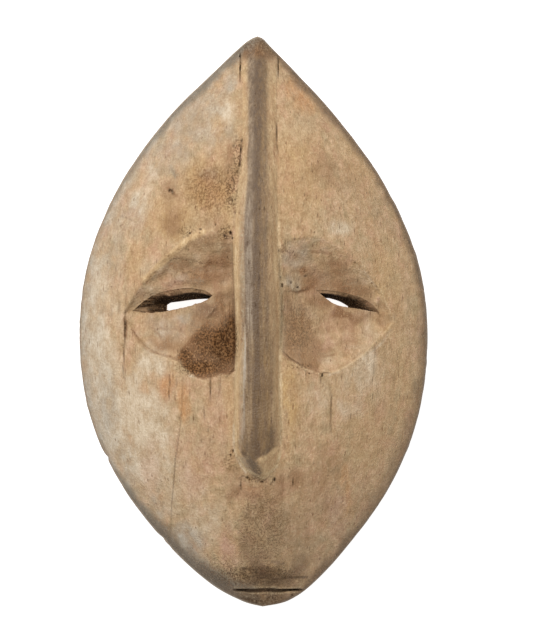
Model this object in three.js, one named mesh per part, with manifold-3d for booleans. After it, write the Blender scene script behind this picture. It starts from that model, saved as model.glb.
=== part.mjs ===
// A small almond-shaped mask carved from one piece of pale wood: a domed face with a long ridge
// nose, two sunken eyes pierced by slits, a short mouth cut at the chin, and a hollowed back.
// It lies on its back rim with the face up. Sizes are in millimetres. X runs to the viewer's right,
// Y to the pointed top and Z out of the face; the origin is the middle of the footprint.
import * as THREE from "three";
import { mergeVertices } from "three/addons/utils/BufferGeometryUtils.js";
import Module from "manifold-3d";

const wasm = await Module();
wasm.setup();

// Driving dimensions
const LENGTH = 170.3; // chin to pointed top
const WIDTH = 104.2; // across the cheeks
const EDGE = 7; // height of the face's edge above the back rim
const CREST = 28; // height of the face where it stands highest
const WALL = 12.5; // wood left between face and hollow at the crest
const LIP = 3; // height of the hollow's upright wall where it meets the rim
const RIM = 7; // width of the flat back rim at the sides
const TIP_RIM = 9; // width of the flat back rim at chin and top
const NOSE_STANDS = [1.4, 5.2]; // how far the ridge stands off the face, at the top and at the nose tip
const WOOD = { color: "#b99a76", roughness: 0.85 };

// Stations of the outline from the chin to the pointed top: [y, left x, right x]
const OUTLINE = [
  [-LENGTH / 2, 2.7, 2.7],
  [-83.4, -3.6, 10.4],
  [-78, -13.2, 18.1],
  [-66.7, -25.6, 28.5],
  [-50.3, -38.5, 40.2],
  [-29.4, -48.6, 49.1],
  [-5.5, -WIDTH / 2, WIDTH / 2],
  [18.3, -49.4, 49.2],
  [40.7, -40, 39.4],
  [60.1, -26.2, 25.6],
  [74.4, -11.9, 12.6],
  [82.2, -3.6, 5],
  [84.4, -0.6, 2.9],
  [LENGTH / 2, 1.2, 1.2],
];

// The side wall's rings from the back rim to the face: how far inside the outline, and how high
const SIDE_RINGS = [
  { inset: 0.8, z: 0 },
  { inset: 0, z: 2.4 },
  { inset: 0.2, z: 5 },
];
const FACE_INSET = 1; // how far inside the outline the face begins

// Stations of the ridge nose from the top down:
// [y, left foot, left top edge, right top edge, right foot]
const NOSE = [
  [88, -3.6, 0.4, 3.4, 6.8],
  [74, -3.5, -0.6, 4.1, 6.9],
  [50, -3.4, -1.9, 4.3, 6.9],
  [38, -4.8, -2.8, 5, 7],
  [22, -5.7, -3.3, 5.1, 7.1],
  [5, -5.2, -3.5, 5.5, 7.9],
  [-7, -4.9, -3.5, 5.4, 7.6],
  [-20, -5.5, -3.5, 5.4, 7.6],
  [-38, -5.5, -3.6, 6.5, 8.6],
  [-56, -5.5, -3.6, 7, 9],
];
const NOSE_CROWN = 0.7; // how far the middle of the ridge stands over its two top edges
const NOSE_TIP = [2.9, -46.3]; // where the foot of the nose comes to its point
// The knife cuts that point the nose: two strokes on each side, from the tip over the middle
// to the shoulder, where the cut meets the foot of that side, and the sloping run of the cut
const NOSE_CUTS = [
  { middle: [-2.4, -43.7], shoulder: [-5.5, -38.7], run: 3.2 },
  { middle: [7.3, -43.2], shoulder: [8.9, -38.2], run: 4.3 },
];

// Stations of each eye socket from under the nose to the outer corner:
// [x, y of the brow edge, y of the slit line, y of the cheek edge, depth at the slit line]
const LEFT_STATIONS = [
  [-1, 10, 9.4, 9, 6],
  [-4.5, 24.2, 9.3, -12.6, 7],
  [-10, 26.6, 8.9, -15.8, 7],
  [-16, 25.4, 8.5, -16.6, 6.4],
  [-22, 21.6, 7.8, -12.2, 5.8],
  [-28, 17.1, 6.4, -10.2, 4.8],
  [-34, 9.6, 3.8, -5.4, 3],
  [-38.2, 2.5, 2, 1.5, 0.5],
];
const RIGHT_STATIONS = [
  [4, 11.5, 11, 10.5, 1.2],
  [8, 22, 11.5, -8.5, 2],
  [13, 24.4, 10.5, -12.6, 4.6],
  [20, 24.6, 8.8, -15.4, 6],
  [26, 21, 6.7, -14, 5.2],
  [32, 16.5, 4.6, -10, 4.2],
  [37, 10, 2.8, -5.2, 2.8],
  [41.2, 0.6, 0, -0.6, 0.5],
];
// The small drop at the brow and at the cheek edge of each socket, and the width over which
// the brow is worn round
const LEFT_SOCKET = { stations: LEFT_STATIONS, browStep: 0.15, cheekStep: 0.4, browWear: 1.1 };
const RIGHT_SOCKET = { stations: RIGHT_STATIONS, browStep: 0.25, cheekStep: 0.35, browWear: 0.6 };

// Each eye slit from one corner to the other: [x, upper lip y, lower lip y, z],
// first the opening in the socket, then the smaller opening in the hollow
const LEFT_SLIT = {
  front: [
    [-35.4, 3.2, 3.2, 15.5],
    [-32, 6.1, 2.6, 16.2],
    [-28, 8.3, 2.6, 17],
    [-20.5, 9.8, 4.1, 18.5],
    [-16, 9.5, 5.3, 19],
    [-13.4, 8.7, 6.5, 19.4],
    [-12.1, 7.7, 7.5, 19.5],
  ],
  back: [
    [-25.4, 4.9, 3.4, 13.4],
    [-24.5, 5.5, 3.1, 13.6],
    [-21.5, 5.9, 3.3, 14.3],
    [-17, 6.5, 4.4, 15.1],
    [-12.6, 6.7, 6.5, 15.5],
  ],
};
const RIGHT_SLIT = {
  front: [
    [18.6, 9.2, 9.1, 18.8],
    [21.5, 9.2, 6.7, 18.3],
    [24, 8.9, 5.1, 17.8],
    [27, 8.4, 4.3, 17.1],
    [32, 6.9, 3.5, 15.7],
    [35.2, 4.9, 2.9, 14.9],
    [36.9, 3, 2.7, 14.5],
  ],
  back: [
    [21.5, 6.9, 6.4, 14.4],
    [22.6, 6.8, 5.4, 14.1],
    [25.5, 5.9, 4, 13.5],
    [27.9, 4.5, 4.1, 12.8],
  ],
};

const MOUTH = { left: -5, right: 15.2, y: -79.8, height: 1, depth: 2.2 };
// The end-grain cut under the mouth: where it starts, the step down to it and how steeply it falls
const CHIN_BEVEL = { y: -80.4, drop: 1, fall: 0.6 };

// Working measures: how far the cutting bodies reach past the wood above and below,
// and two lengths that count as nothing
const ABOVE = 50;
const BELOW = -5;
const HAIR = 0.01;
const WELD = 1e-4;

const mix = THREE.MathUtils.lerp;
const clamp = THREE.MathUtils.clamp;

// Catmull-Rom curve through table rows, as a function of t from 0 to 1
function along(rows, t) {
  const spans = rows.length - 1;
  const place = clamp(t, 0, 1) * spans;
  const i = Math.min(Math.floor(place), spans - 1);
  const w = place - i;
  return rows[i].map((start, k) => {
    const before = rows[Math.max(i - 1, 0)][k];
    const end = rows[i + 1][k];
    const after = rows[Math.min(i + 2, spans)][k];
    const leave = (end - before) / 2;
    const arrive = (after - start) / 2;
    const cubic = 2 * start - 2 * end + leave + arrive;
    const square = 3 * end - 3 * start - 2 * leave - arrive;
    return cubic * w ** 3 + square * w ** 2 + leave * w + start;
  });
}

// The outline's left and right x at a height y, found by halving
function outlineAt(y) {
  const HALVINGS = 30;
  let low = 0;
  let high = 1;
  for (let step = 0; step < HALVINGS; step += 1) {
    const middle = (low + high) / 2;
    if (along(OUTLINE, middle)[0] < y) {
      low = middle;
    } else {
      high = middle;
    }
  }
  return along(OUTLINE, low).slice(1);
}

// The outline at t, drawn in towards the middle by inset at the sides and tipInset at both ends
function drawnIn(t, inset, tipInset = inset) {
  const across = 1 - inset / (WIDTH / 2);
  const lengthwise = 1 - tipInset / (LENGTH / 2);
  const [y, left, right] = along(OUTLINE, t);
  return { y: y * lengthwise, left: left * across, right: right * across };
}

// Height of the face's plain dome at a point: a crest line that falls to the edge at both tips,
// times a bow from side to side
function faceHeight(x, y) {
  const TOP_FALL = 2.2;
  const CHIN_FALL = 2.8;
  const BOW = 2.3;
  const across = 1 - FACE_INSET / (WIDTH / 2);
  const lengthwise = 1 - FACE_INSET / (LENGTH / 2);
  const [left, right] = outlineAt(y / lengthwise).map((side) => side * across);
  const half = Math.max((right - left) / 2, HAIR);
  const off = Math.min(1, Math.abs(x - (right + left) / 2) / half);
  const reach = Math.min(1, Math.abs(y) / ((LENGTH / 2) * lengthwise));
  const crest = 1 - reach ** (y > 0 ? TOP_FALL : CHIN_FALL);
  return EDGE + (CREST - EDGE) * crest * (1 - off ** BOW);
}

// A three.js geometry as a solid for joining and cutting, without the triangles
// that have shrunk to nothing
function solidOf(geometry) {
  const bare = geometry.clone();
  bare.deleteAttribute("normal");
  bare.deleteAttribute("uv");
  const merged = mergeVertices(bare, WELD);
  const corners = merged.index.array;
  const kept = [];
  for (let i = 0; i < corners.length; i += 3) {
    const [a, b, c] = corners.slice(i, i + 3);
    if (a !== b && b !== c && a !== c) kept.push(a, b, c);
  }
  return new wasm.Manifold(
    new wasm.Mesh({
      numProp: 3,
      vertProperties: merged.attributes.position.array,
      triVerts: new Uint32Array(kept),
    }),
  );
}

// A closed solid whose skin runs through loops of points, each with as many points as the next.
// The first and last loop are gathered into the two gather points; without those they have to be
// folded flat already.
function skinned(loops, gather) {
  const all = gather ? [loops[0].map(() => gather[0]), ...loops, loops[0].map(() => gather[1])] : loops;
  const count = loops[0].length;
  const index = [];
  for (let i = 0; i < all.length - 1; i += 1) {
    for (let j = 0; j < count; j += 1) {
      const a = i * count + j;
      const b = i * count + ((j + 1) % count);
      index.push(a, b, a + count, b, b + count, a + count);
    }
  }
  const geometry = new THREE.BufferGeometry();
  geometry.setAttribute("position", new THREE.Float32BufferAttribute(all.flat(2), 3));
  geometry.setIndex(index);
  return solidOf(geometry);
}

// The shield-shaped blank: flat back, flared side wall and domed face
function blank() {
  const ROWS = 52;
  const ACROSS = 30;
  const loops = [];
  for (let i = 0; i <= ROWS; i += 1) {
    const t = i / ROWS;
    const leftSide = SIDE_RINGS.map(({ inset, z }) => {
      const ring = drawnIn(t, inset);
      return [ring.left, ring.y, z];
    });
    const rightSide = SIDE_RINGS.map(({ inset, z }) => {
      const ring = drawnIn(t, inset);
      return [ring.right, ring.y, z];
    });
    const edge = drawnIn(t, FACE_INSET);
    const face = [];
    for (let j = 0; j <= ACROSS; j += 1) {
      const x = mix(edge.left, edge.right, j / ACROSS);
      face.push([x, edge.y, faceHeight(x, edge.y)]);
    }
    loops.push([...leftSide, ...face, ...rightSide.reverse()]);
  }
  return skinned(loops);
}

// The bowl that is cut out of the back, open below the rim
function hollow() {
  const ROWS = 40;
  const ACROSS = 24;
  const ALONG_FALL = 2.4;
  const BOW = 3;
  const deepest = CREST - WALL;
  const loops = [];
  for (let i = 0; i <= ROWS; i += 1) {
    const { y, left, right } = drawnIn(i / ROWS, RIM, TIP_RIM);
    const reach = Math.min(1, Math.abs(y) / (LENGTH / 2 - TIP_RIM));
    const loop = [[left, y, BELOW]];
    for (let j = 0; j <= ACROSS; j += 1) {
      const off = Math.abs((2 * j) / ACROSS - 1);
      const z = LIP + (deepest - LIP) * (1 - reach ** ALONG_FALL) * (1 - off ** BOW);
      loop.push([mix(left, right, j / ACROSS), y, z]);
    }
    loop.push([right, y, BELOW]);
    loops.push(loop);
  }
  return skinned(loops);
}

// Depth of a socket below the face. share is 0 on the slit line, 1 on the brow edge and -1 on the
// cheek edge. nearNose is 1 beside the nose and 0 at the outer corner; it makes the cheek side fuller
// and steeper. reach is the width of that side; wear has rounded the edge of the brow's side.
function socketDepth({ browStep, cheekStep, browWear }, share, deepest, nearNose, reach) {
  const BROW_POWER = 1.5;
  const CHEEK_POWER = [1.6, 3.4];
  const atBrow = share > 0;
  const start = atBrow ? browStep : cheekStep;
  const power = atBrow ? BROW_POWER : mix(...CHEEK_POWER, nearNose);
  const cut = start + Math.max(deepest - start, 0) * (1 - Math.abs(share) ** power);
  const inward = (1 - share) * reach;
  const worn = (inward * (reach + browWear)) / ((inward + browWear) * reach);
  return atBrow ? browStep + (cut - browStep) * worn : cut;
}

// The wood that is cut out of the face to sink one eye
function socket(eye) {
  const ALONG = 26;
  const HALF = 8;
  const END_RISE = 0.5; // how far above the cheek edge each end of the socket is gathered
  const loops = [];
  for (let i = 0; i <= ALONG; i += 1) {
    const [x, brow, line, cheek, deepest] = along(eye.stations, i / ALONG);
    const floor = [];
    for (let j = -HALF; j <= HALF; j += 1) {
      const share = j / HALF;
      const y = share > 0 ? mix(line, brow, share) : mix(line, cheek, -share);
      const reach = share > 0 ? brow - line : line - cheek;
      const depth = socketDepth(eye, share, deepest, 1 - i / ALONG, reach);
      floor.push([x, y, faceHeight(x, y) - depth]);
    }
    loops.push([[x, cheek, ABOVE], ...floor, [x, brow, ABOVE]]);
  }
  if (loops[0][0][0] > loops[ALONG][0][0]) loops.reverse();
  const ends = [loops[0], loops[ALONG]].map(([[x, y]]) => [x, y + END_RISE, ABOVE]);
  return skinned(loops, ends);
}

// The wood that is cut out to open one eye through to the hollow
function slit({ front, back }) {
  const ALONG = 20;
  const loops = [];
  for (let i = 0; i <= ALONG; i += 1) {
    const [x, upper, lower, z] = along(front, i / ALONG);
    const [backX, backUpper, backLower, backZ] = along(back, i / ALONG);
    loops.push([
      [x, lower, ABOVE],
      [x, lower, z],
      [backX, backLower, backZ],
      [backX, backLower, BELOW],
      [backX, backUpper, BELOW],
      [backX, backUpper, backZ],
      [x, upper, z],
      [x, upper, ABOVE],
    ]);
  }
  const folded = (loop) => loop.map(([x, y, z], k) => [x, (y + loop[loop.length - 1 - k][1]) / 2, z]);
  return skinned([folded(loops[0]), ...loops, folded(loops[ALONG])]);
}

// The ridge nose: a bar with bevelled sides and a crowned top, cut to a point at its lower end
function nose() {
  const ROWS = 30;
  const CROWN_POINTS = 4;
  const BURIED = 9;
  const loops = [];
  for (let i = 0; i <= ROWS; i += 1) {
    const [y, footLeft, topLeft, topRight, footRight] = along(NOSE, i / ROWS);
    const down = clamp((LENGTH / 2 - y) / (LENGTH / 2 - NOSE_TIP[1]), 0, 1);
    const held = clamp(y, NOSE_TIP[1], LENGTH / 2 - FACE_INSET);
    const face = faceHeight((topLeft + topRight) / 2, held);
    const top = face + mix(...NOSE_STANDS, down);
    const crown = [];
    for (let j = 0; j <= CROWN_POINTS; j += 1) {
      const off = (2 * j) / CROWN_POINTS - 1;
      crown.push([mix(topLeft, topRight, j / CROWN_POINTS), y, top + NOSE_CROWN * (1 - off * off)]);
    }
    loops.unshift([
      [footLeft, y, face - BURIED],
      [footLeft, y, faceHeight(footLeft, held)],
      ...crown,
      [footRight, y, faceHeight(footRight, held)],
      [footRight, y, face - BURIED],
    ]);
  }
  const ends = [loops[0], loops[ROWS]].map(([[, y, z]]) => [NOSE_TIP[0], y, z]);
  return skinned(loops, ends);
}

// A block that pares away wood at the nose's lower end: its flat face leans back
// from the foot line between the two points by run over the nose's height
function tipCut(start, end, run) {
  const SIZE = 60;
  const face = faceHeight(...NOSE_TIP);
  const foot = new THREE.Vector3(...start, face);
  const line = new THREE.Vector3(...end, face).sub(foot).normalize();
  const out = new THREE.Vector3(line.y, -line.x, 0);
  if (out.y > 0) out.negate();
  const normal = out.multiplyScalar(NOSE_STANDS[1]).setZ(run).normalize();
  const turned = new THREE.Matrix4().makeBasis(line, normal, line.clone().cross(normal));
  turned.setPosition(foot.addScaledVector(normal, SIZE / 2));
  return solidOf(new THREE.BoxGeometry(SIZE, SIZE, SIZE).applyMatrix4(turned));
}

// An upright column of the face's outline, to trim what sticks out past the pointed top
function column() {
  const ROWS = 60;
  const BOTTOM = 2;
  const loops = [];
  for (let i = 0; i <= ROWS; i += 1) {
    const { y, left, right } = drawnIn(i / ROWS, FACE_INSET);
    loops.push([
      [left, y, BOTTOM],
      [left, y, ABOVE],
      [right, y, ABOVE],
      [right, y, BOTTOM],
    ]);
  }
  return skinned(loops);
}

// A plain box by its two far corners
function box([x0, y0, z0], [x1, y1, z1]) {
  const geometry = new THREE.BoxGeometry(x1 - x0, y1 - y0, z1 - z0);
  return solidOf(geometry.translate((x0 + x1) / 2, (y0 + y1) / 2, (z0 + z1) / 2));
}

// The knife cut of the mouth
function mouth() {
  const { left, right, y, height, depth } = MOUTH;
  const floor = faceHeight((left + right) / 2, y) - depth;
  return box([left, y - height / 2, floor], [right, y + height / 2, ABOVE]);
}

// The bevel that falls away from the mouth to the chin
function chinBevel() {
  const SIZE = 40;
  const { y, drop, fall } = CHIN_BEVEL;
  const geometry = new THREE.BoxGeometry(2 * SIZE, SIZE, 2 * SIZE);
  geometry.translate(0, -SIZE / 2, SIZE);
  geometry.applyMatrix4(new THREE.Matrix4().makeShear(0, 0, 0, fall, 0, 0));
  geometry.translate(0, y, faceHeight(NOSE_TIP[0], y) - drop);
  return solidOf(geometry);
}

let pointed = nose();
for (const { middle, shoulder, run } of NOSE_CUTS) {
  pointed = pointed.subtract(tipCut(NOSE_TIP, middle, run));
  pointed = pointed.subtract(tipCut(middle, shoulder, run));
}
pointed = pointed.intersect(column());

let carved = blank();
for (const eye of [LEFT_SOCKET, RIGHT_SOCKET]) {
  carved = carved.subtract(socket(eye));
}
carved = carved.add(pointed).subtract(hollow());
for (const opening of [LEFT_SLIT, RIGHT_SLIT]) {
  carved = carved.subtract(slit(opening));
}
carved = carved.subtract(mouth()).subtract(chinBevel());

// The finished solid as a named mesh
function meshOf(solid, name, finish) {
  const { vertProperties, triVerts } = solid.getMesh();
  const geometry = new THREE.BufferGeometry();
  geometry.setAttribute("position", new THREE.Float32BufferAttribute(vertProperties, 3));
  geometry.setIndex(new THREE.Uint32BufferAttribute(triVerts, 1));
  geometry.computeVertexNormals();
  const mesh = new THREE.Mesh(geometry, new THREE.MeshStandardMaterial(finish));
  mesh.name = name;
  return mesh;
}

const part = new THREE.Group();
part.name = "miniature_mask";
part.add(meshOf(carved, "mask", WOOD));
export default part;
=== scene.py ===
# %% [markdown]
# # A small carved wooden mask
# The real thing is one piece of pale hardwood, 170 mm tall, cut with an adze and a knife: a domed almond
# face, a long ridge for the nose, two sunken eyes with slits cut through, a short cut for the mouth, and
# a hollowed back. The solid from the CAD program has these forms but smooth sides and one flat colour.
# Here the same forms are worked out again on a much finer net, so that knife marks, chips, pits and worn
# edges are real relief, and the wood gets its grain and its age. The solid stays as the frame: it fixes
# where everything is.

import bpy
import numpy as np
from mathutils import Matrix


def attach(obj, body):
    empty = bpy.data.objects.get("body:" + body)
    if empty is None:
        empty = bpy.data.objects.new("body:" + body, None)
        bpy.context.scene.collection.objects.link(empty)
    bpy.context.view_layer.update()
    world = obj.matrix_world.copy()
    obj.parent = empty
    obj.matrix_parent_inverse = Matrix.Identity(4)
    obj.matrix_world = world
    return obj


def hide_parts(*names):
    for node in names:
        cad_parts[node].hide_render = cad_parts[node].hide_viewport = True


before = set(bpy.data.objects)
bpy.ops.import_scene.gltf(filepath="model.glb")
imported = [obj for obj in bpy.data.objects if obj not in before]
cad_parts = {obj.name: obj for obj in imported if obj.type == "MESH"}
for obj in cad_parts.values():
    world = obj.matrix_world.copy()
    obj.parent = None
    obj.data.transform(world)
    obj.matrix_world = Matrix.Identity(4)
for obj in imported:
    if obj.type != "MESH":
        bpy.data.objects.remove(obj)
bpy.context.view_layer.update()

# %% [markdown]
# ## The mask's own measures
# The numbers that give the mask its main forms are named here, in millimetres. They are the solid's own,
# or stay within half a millimetre of them. X runs to the viewer's right, Y to the pointed top and Z out
# of the face. A table row is one station, as a carver would mark it on the block, and a smooth curve is
# drawn through the stations.

# %% Measures in millimetres
LENGTH, WIDTH = 170.3, 104.2
EDGE, CREST = 7.0, 28.0  # height of the face at its edge and where it stands highest
WALL, LIP = 12.5, 3.0  # wood behind the crest, and the upright wall where the hollow meets the rim
RIM, TIP_RIM = 7.0, 9.0  # width of the flat back rim at the sides and at both ends
FACE_INSET = 1.0  # how far inside the outline the face begins

OUTLINE = [  # y, left x, right x
    (-LENGTH / 2, 2.7, 2.7),
    (-83.4, -3.6, 10.4),
    (-78, -13.2, 18.1),
    (-66.7, -25.6, 28.5),
    (-50.3, -38.5, 40.2),
    (-29.4, -48.6, 49.1),
    (-5.5, -WIDTH / 2, WIDTH / 2),
    (18.3, -49.4, 49.2),
    (40.7, -40, 39.4),
    (60.1, -26.2, 25.6),
    (74.4, -11.9, 12.6),
    (82.2, -3.6, 5),
    (84.4, -0.6, 2.9),
    (LENGTH / 2, 1.2, 1.2),
]
NOSE = [  # y, left foot, left top edge, right top edge, right foot
    (-56, -5.5, -3.6, 7, 9),
    (-38, -5.5, -3.6, 6.5, 8.6),
    (-20, -5.5, -3.5, 5.4, 7.6),
    (-7, -4.9, -3.5, 5.4, 7.6),
    (5, -5.2, -3.5, 5.5, 7.9),
    (22, -5.7, -3.3, 5.1, 7.1),
    (38, -4.8, -2.8, 5, 7),
    (50, -3.4, -1.9, 4.3, 6.9),
    (74, -3.5, -0.6, 4.1, 6.9),
    (88, -3.6, 0.4, 3.4, 6.8),
]
NOSE_STANDS = (1.4, 5.2)  # how far the ridge stands off the face, at the top and at the nose tip
NOSE_CROWN = 0.7  # how much higher its top is in the middle
NOSE_TIP = (2.9, -46.3)
NOSE_CUTS = [((-5.5, -38.7), 3.2), ((8.9, -38.2), 4.3)]  # shoulder of each cut at the foot, and its run
TIP_BULGE = 1.6  # how far the cuts at the nose tip bow outwards
NOSE_WORN = 0.25  # how much handling has taken off its top

LEFT_SOCKET = [  # x, brow edge y, slit line y, cheek edge y, depth at the slit line
    (-1, 10, 9.4, 9, 6),
    (-4.5, 24.2, 9.3, -12.6, 7),
    (-10, 26.6, 8.9, -15.8, 7),
    (-16, 25.4, 8.5, -16.6, 6.4),
    (-22, 21.6, 7.8, -12.2, 5.8),
    (-28, 17.1, 6.4, -10.2, 4.8),
    (-34, 9.6, 3.8, -5.4, 3),
    (-38.2, 2.5, 2, 1.5, 0.5),
]
RIGHT_SOCKET = [
    (4, 11.5, 11, 10.5, 1.2),
    (8, 22, 11.5, -8.5, 2),
    (13, 24.4, 10.5, -12.6, 4.6),
    (20, 24.6, 8.8, -15.4, 6),
    (26, 21, 6.7, -14, 5.2),
    (32, 16.5, 4.6, -10, 4.2),
    (37, 10, 2.8, -5.2, 2.8),
    (41.2, 0.6, 0, -0.6, 0.5),
]
SOCKET_STEP = ((0.15, 0.4), (0.25, 0.35))  # upright start at the brow and the cheek, left socket first
EDGE_WEAR = ((2.2, 1.2), (1.2, 1.2))  # width over which those same edges are rounded

SLITS = {  # x, upper lip y, lower lip y, z: the opening in the socket, then the smaller one in the hollow
    "left": (
        [(-35.4, 3.2, 3.2, 15.5), (-32, 6.1, 2.6, 16.2), (-28, 8.3, 2.6, 17), (-20.5, 9.8, 4.1, 18.5),
         (-16, 9.5, 5.3, 19), (-13.4, 8.7, 6.5, 19.4), (-12.1, 7.7, 7.5, 19.5)],
        [(-25.4, 4.9, 3.4, 13.4), (-24.5, 5.5, 3.1, 13.6), (-21.5, 5.9, 3.3, 14.3), (-17, 6.5, 4.4, 15.1),
         (-12.6, 6.7, 6.5, 15.5)],
    ),
    "right": (
        [(18.6, 9.2, 9.1, 18.8), (21.5, 9.2, 6.7, 18.3), (24, 8.9, 5.1, 17.8), (27, 8.4, 4.3, 17.1),
         (32, 6.9, 3.5, 15.7), (35.2, 4.9, 2.9, 14.9), (36.9, 3, 2.7, 14.5)],
        [(21.5, 6.9, 6.4, 14.4), (22.6, 6.8, 5.4, 14.1), (25.5, 5.9, 4, 13.5), (27.9, 4.5, 4.1, 12.8)],
    ),
}
MOUTH = {"left": -5.4, "right": 15.6, "y": -79.8, "depth": 2.2}
CHIN_BEVEL = {"y": -80.4, "drop": 1.0, "fall": 0.6}
print("mask", LENGTH, "by", WIDTH, "mm")

# %% [markdown]
# ## Small helpers for shapes
# Seven short functions do all the drawing. A curve through stations, points spread with a spacing that may
# change, two soft versions of "the lower of" and "the higher of" that round an edge as wear does, a smooth
# step from 0 to 1, soft random hills that stand for the unsteadiness of a hand with a knife, and a sum of
# several such hills, from broad to fine.

# %% Helpers
LATTICE = 97  # cells before the random hills repeat


def curve(rows, points=900):
    """Catmull-Rom curve: cubics that leave each station along the line through its neighbours."""
    rows = np.asarray(rows, float)
    spans = len(rows) - 1
    t = np.linspace(0, spans, points)
    i = np.minimum(t.astype(int), spans - 1)
    w = (t - i)[:, None]
    before, start = rows[np.maximum(i - 1, 0)], rows[i]
    end, after = rows[i + 1], rows[np.minimum(i + 2, spans)]
    leave, arrive = (end - before) / 2, (after - start) / 2
    cubic = 2 * start - 2 * end + leave + arrive
    square = 3 * end - 3 * start - 2 * leave - arrive
    return (cubic * w**3 + square * w**2 + leave * w + start).T


def spread(start, end, spacing):
    """Points from start to end, evenly spread along the running sum of 1 / spacing(place)."""
    fine = np.linspace(start, end, 6000)
    middle = (fine[1:] + fine[:-1]) / 2
    count = np.concatenate([[0], np.cumsum(np.diff(fine) / spacing(middle))])
    return np.interp(np.linspace(0, count[-1], round(count[-1]) + 1), count, fine)


def soft_low(a, b, k):
    """The lower of a and b, with the corner between them rounded off over k millimetres."""
    h = np.maximum(k - np.abs(a - b), 0) / k
    return np.minimum(a, b) - h**2 * k / 4


def soft_high(a, b, k):
    """The higher of a and b, with the crease between them filled over k millimetres."""
    return -soft_low(-a, -b, k)


def step(value, start, end):
    """0 before start, 1 after end, and 3f^2 - 2f^3 in between."""
    f = np.clip((value - start) / (end - start), 0, 1)
    return f * f * (3 - 2 * f)


def hills(x, y, wide, tall, seed):
    """Hills from -1 to 1: seeded random numbers on a lattice of wide by tall, smoothly blended."""
    lattice = np.random.default_rng(seed).uniform(-1, 1, (LATTICE, LATTICE))
    i, j = np.floor(x / wide).astype(int), np.floor(y / tall).astype(int)
    f, g = step(x / wide - i, 0, 1), step(y / tall - j, 0, 1)
    left, right, under, over = i % LATTICE, (i + 1) % LATTICE, j % LATTICE, (j + 1) % LATTICE
    low = lattice[left, under] * (1 - f) + lattice[right, under] * f
    high = lattice[left, over] * (1 - f) + lattice[right, over] * f
    return low * (1 - g) + high * g


def layered(x, y, layers):
    """Sum of rise * hills over the rows of layers, each a rise, a width, a length and a seed."""
    return sum(rise * hills(x, y, wide, tall, seed) for rise, wide, tall, seed in layers)


print("a soft corner at 0:", soft_low(np.array([0.0]), np.array([0.0]), 1.0))

# %% [markdown]
# ## The face
# The face is a dome. A carver rounds it by eye from the middle to the edge; here its height is a crest
# line along the middle, which falls to the edge at both tips, times a bow from side to side. Writing it
# as one formula means that anything cut into it later can start from its exact surface.

# %% The dome
OUTLINE_CURVE = curve(OUTLINE)
BOW, FALL_TOP, FALL_CHIN = 2.3, 2.2, 2.8  # a higher power keeps the dome up longer before it falls


def outline(y, inset=0.0, tip_inset=None):
    """Left and right x of the outline at y, shrunk by inset at the sides and by tip_inset at both ends."""
    heights, left, right = OUTLINE_CURVE
    across = 1 - inset / (WIDTH / 2)
    lengthwise = 1 - (inset if tip_inset is None else tip_inset) / (LENGTH / 2)
    return tuple(np.interp(y, heights * lengthwise, edge * across) for edge in (left, right))


def face_height(x, y):
    """EDGE + (CREST - EDGE) * (1 - |y / tip|^fall) * (1 - |offset / half width|^bow)."""
    left, right = outline(y, FACE_INSET)
    half = np.maximum((right - left) / 2, 0.01)
    off = np.minimum(np.abs(x - (right + left) / 2) / half, 1)
    reach = np.minimum(np.abs(y) / (LENGTH / 2 - FACE_INSET), 1)
    crest = 1 - reach ** np.where(y > 0, FALL_TOP, FALL_CHIN)
    return EDGE + (CREST - EDGE) * crest * (1 - off**BOW)


print("face in the middle", face_height(np.array([0.0]), np.array([0.0])), "mm high")

# %% [markdown]
# ## The ridge nose
# The nose is a long bar that was left standing while the face beside it was cut down. Its sides are
# bevelled with a knife, its top is slightly crowned and rubbed smooth, and two cuts bring its lower end
# to a point. Each of those surfaces is a simple slope, and the nose is the lowest of them everywhere; the
# soft corner between two slopes is the rounding that years of handling gave it.

# %% The nose
NOSE_CURVE = curve(NOSE)
ROUNDING, TIP_ROUNDING = 0.9, 1.0  # width of the soft corners along the nose and at its tip
NOSE_WEAR = ((0.25, 60, 6, 5), (0.1, 3, 9, 6))


def nose_lines(y):
    """x of the left foot, left top edge, right top edge and right foot at height y."""
    return [np.interp(y, NOSE_CURVE[0], line) for line in NOSE_CURVE[1:]]


def nose_height(x, y):
    """The lowest of a crowned top, two side bevels and the two cuts at the tip; -99 outside its feet."""
    foot_left, top_left, top_right, foot_right = nose_lines(y)
    held = np.clip(y, NOSE_TIP[1], LENGTH / 2 - FACE_INSET)
    base = face_height((top_left + top_right) / 2, held)
    down = np.clip((LENGTH / 2 - y) / (LENGTH / 2 - NOSE_TIP[1]), 0, 1)
    stands = NOSE_STANDS[0] + (NOSE_STANDS[1] - NOSE_STANDS[0]) * down
    worn = layered(x, y, NOSE_WEAR)
    off = np.clip((2 * x - top_left - top_right) / (top_right - top_left), -1.3, 1.3)
    height = base + stands + NOSE_CROWN * (1 - off**2) - NOSE_WORN + worn * (0.3 + 0.7 * down)
    for foot, top in ((foot_left, top_left), (foot_right, top_right)):
        level = face_height(foot, held)
        bevel = level + (base + stands - level) * (x - foot) / (top - foot)
        height = soft_low(height, bevel, ROUNDING)
    tip_face = face_height(np.array(NOSE_TIP[0]), np.array(NOSE_TIP[1]))
    for shoulder, run in NOSE_CUTS:
        along = np.subtract(shoulder, NOSE_TIP)
        out = np.array([along[1], -along[0]]) / np.hypot(*along)
        out = -out if out[1] > 0 else out
        away = (x - NOSE_TIP[0]) * out[0] + (y - NOSE_TIP[1]) * out[1]
        at = ((x - NOSE_TIP[0]) * along[0] + (y - NOSE_TIP[1]) * along[1]) / np.hypot(*along) ** 2
        away = away - TIP_BULGE * np.clip(4 * at * (1 - at), -0.5, 1)
        height = soft_low(height, tip_face - away * NOSE_STANDS[1] / run, TIP_ROUNDING)
    return np.where((x < foot_left - 0.01) | (x > foot_right + 0.01), -99.0, height)


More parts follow.
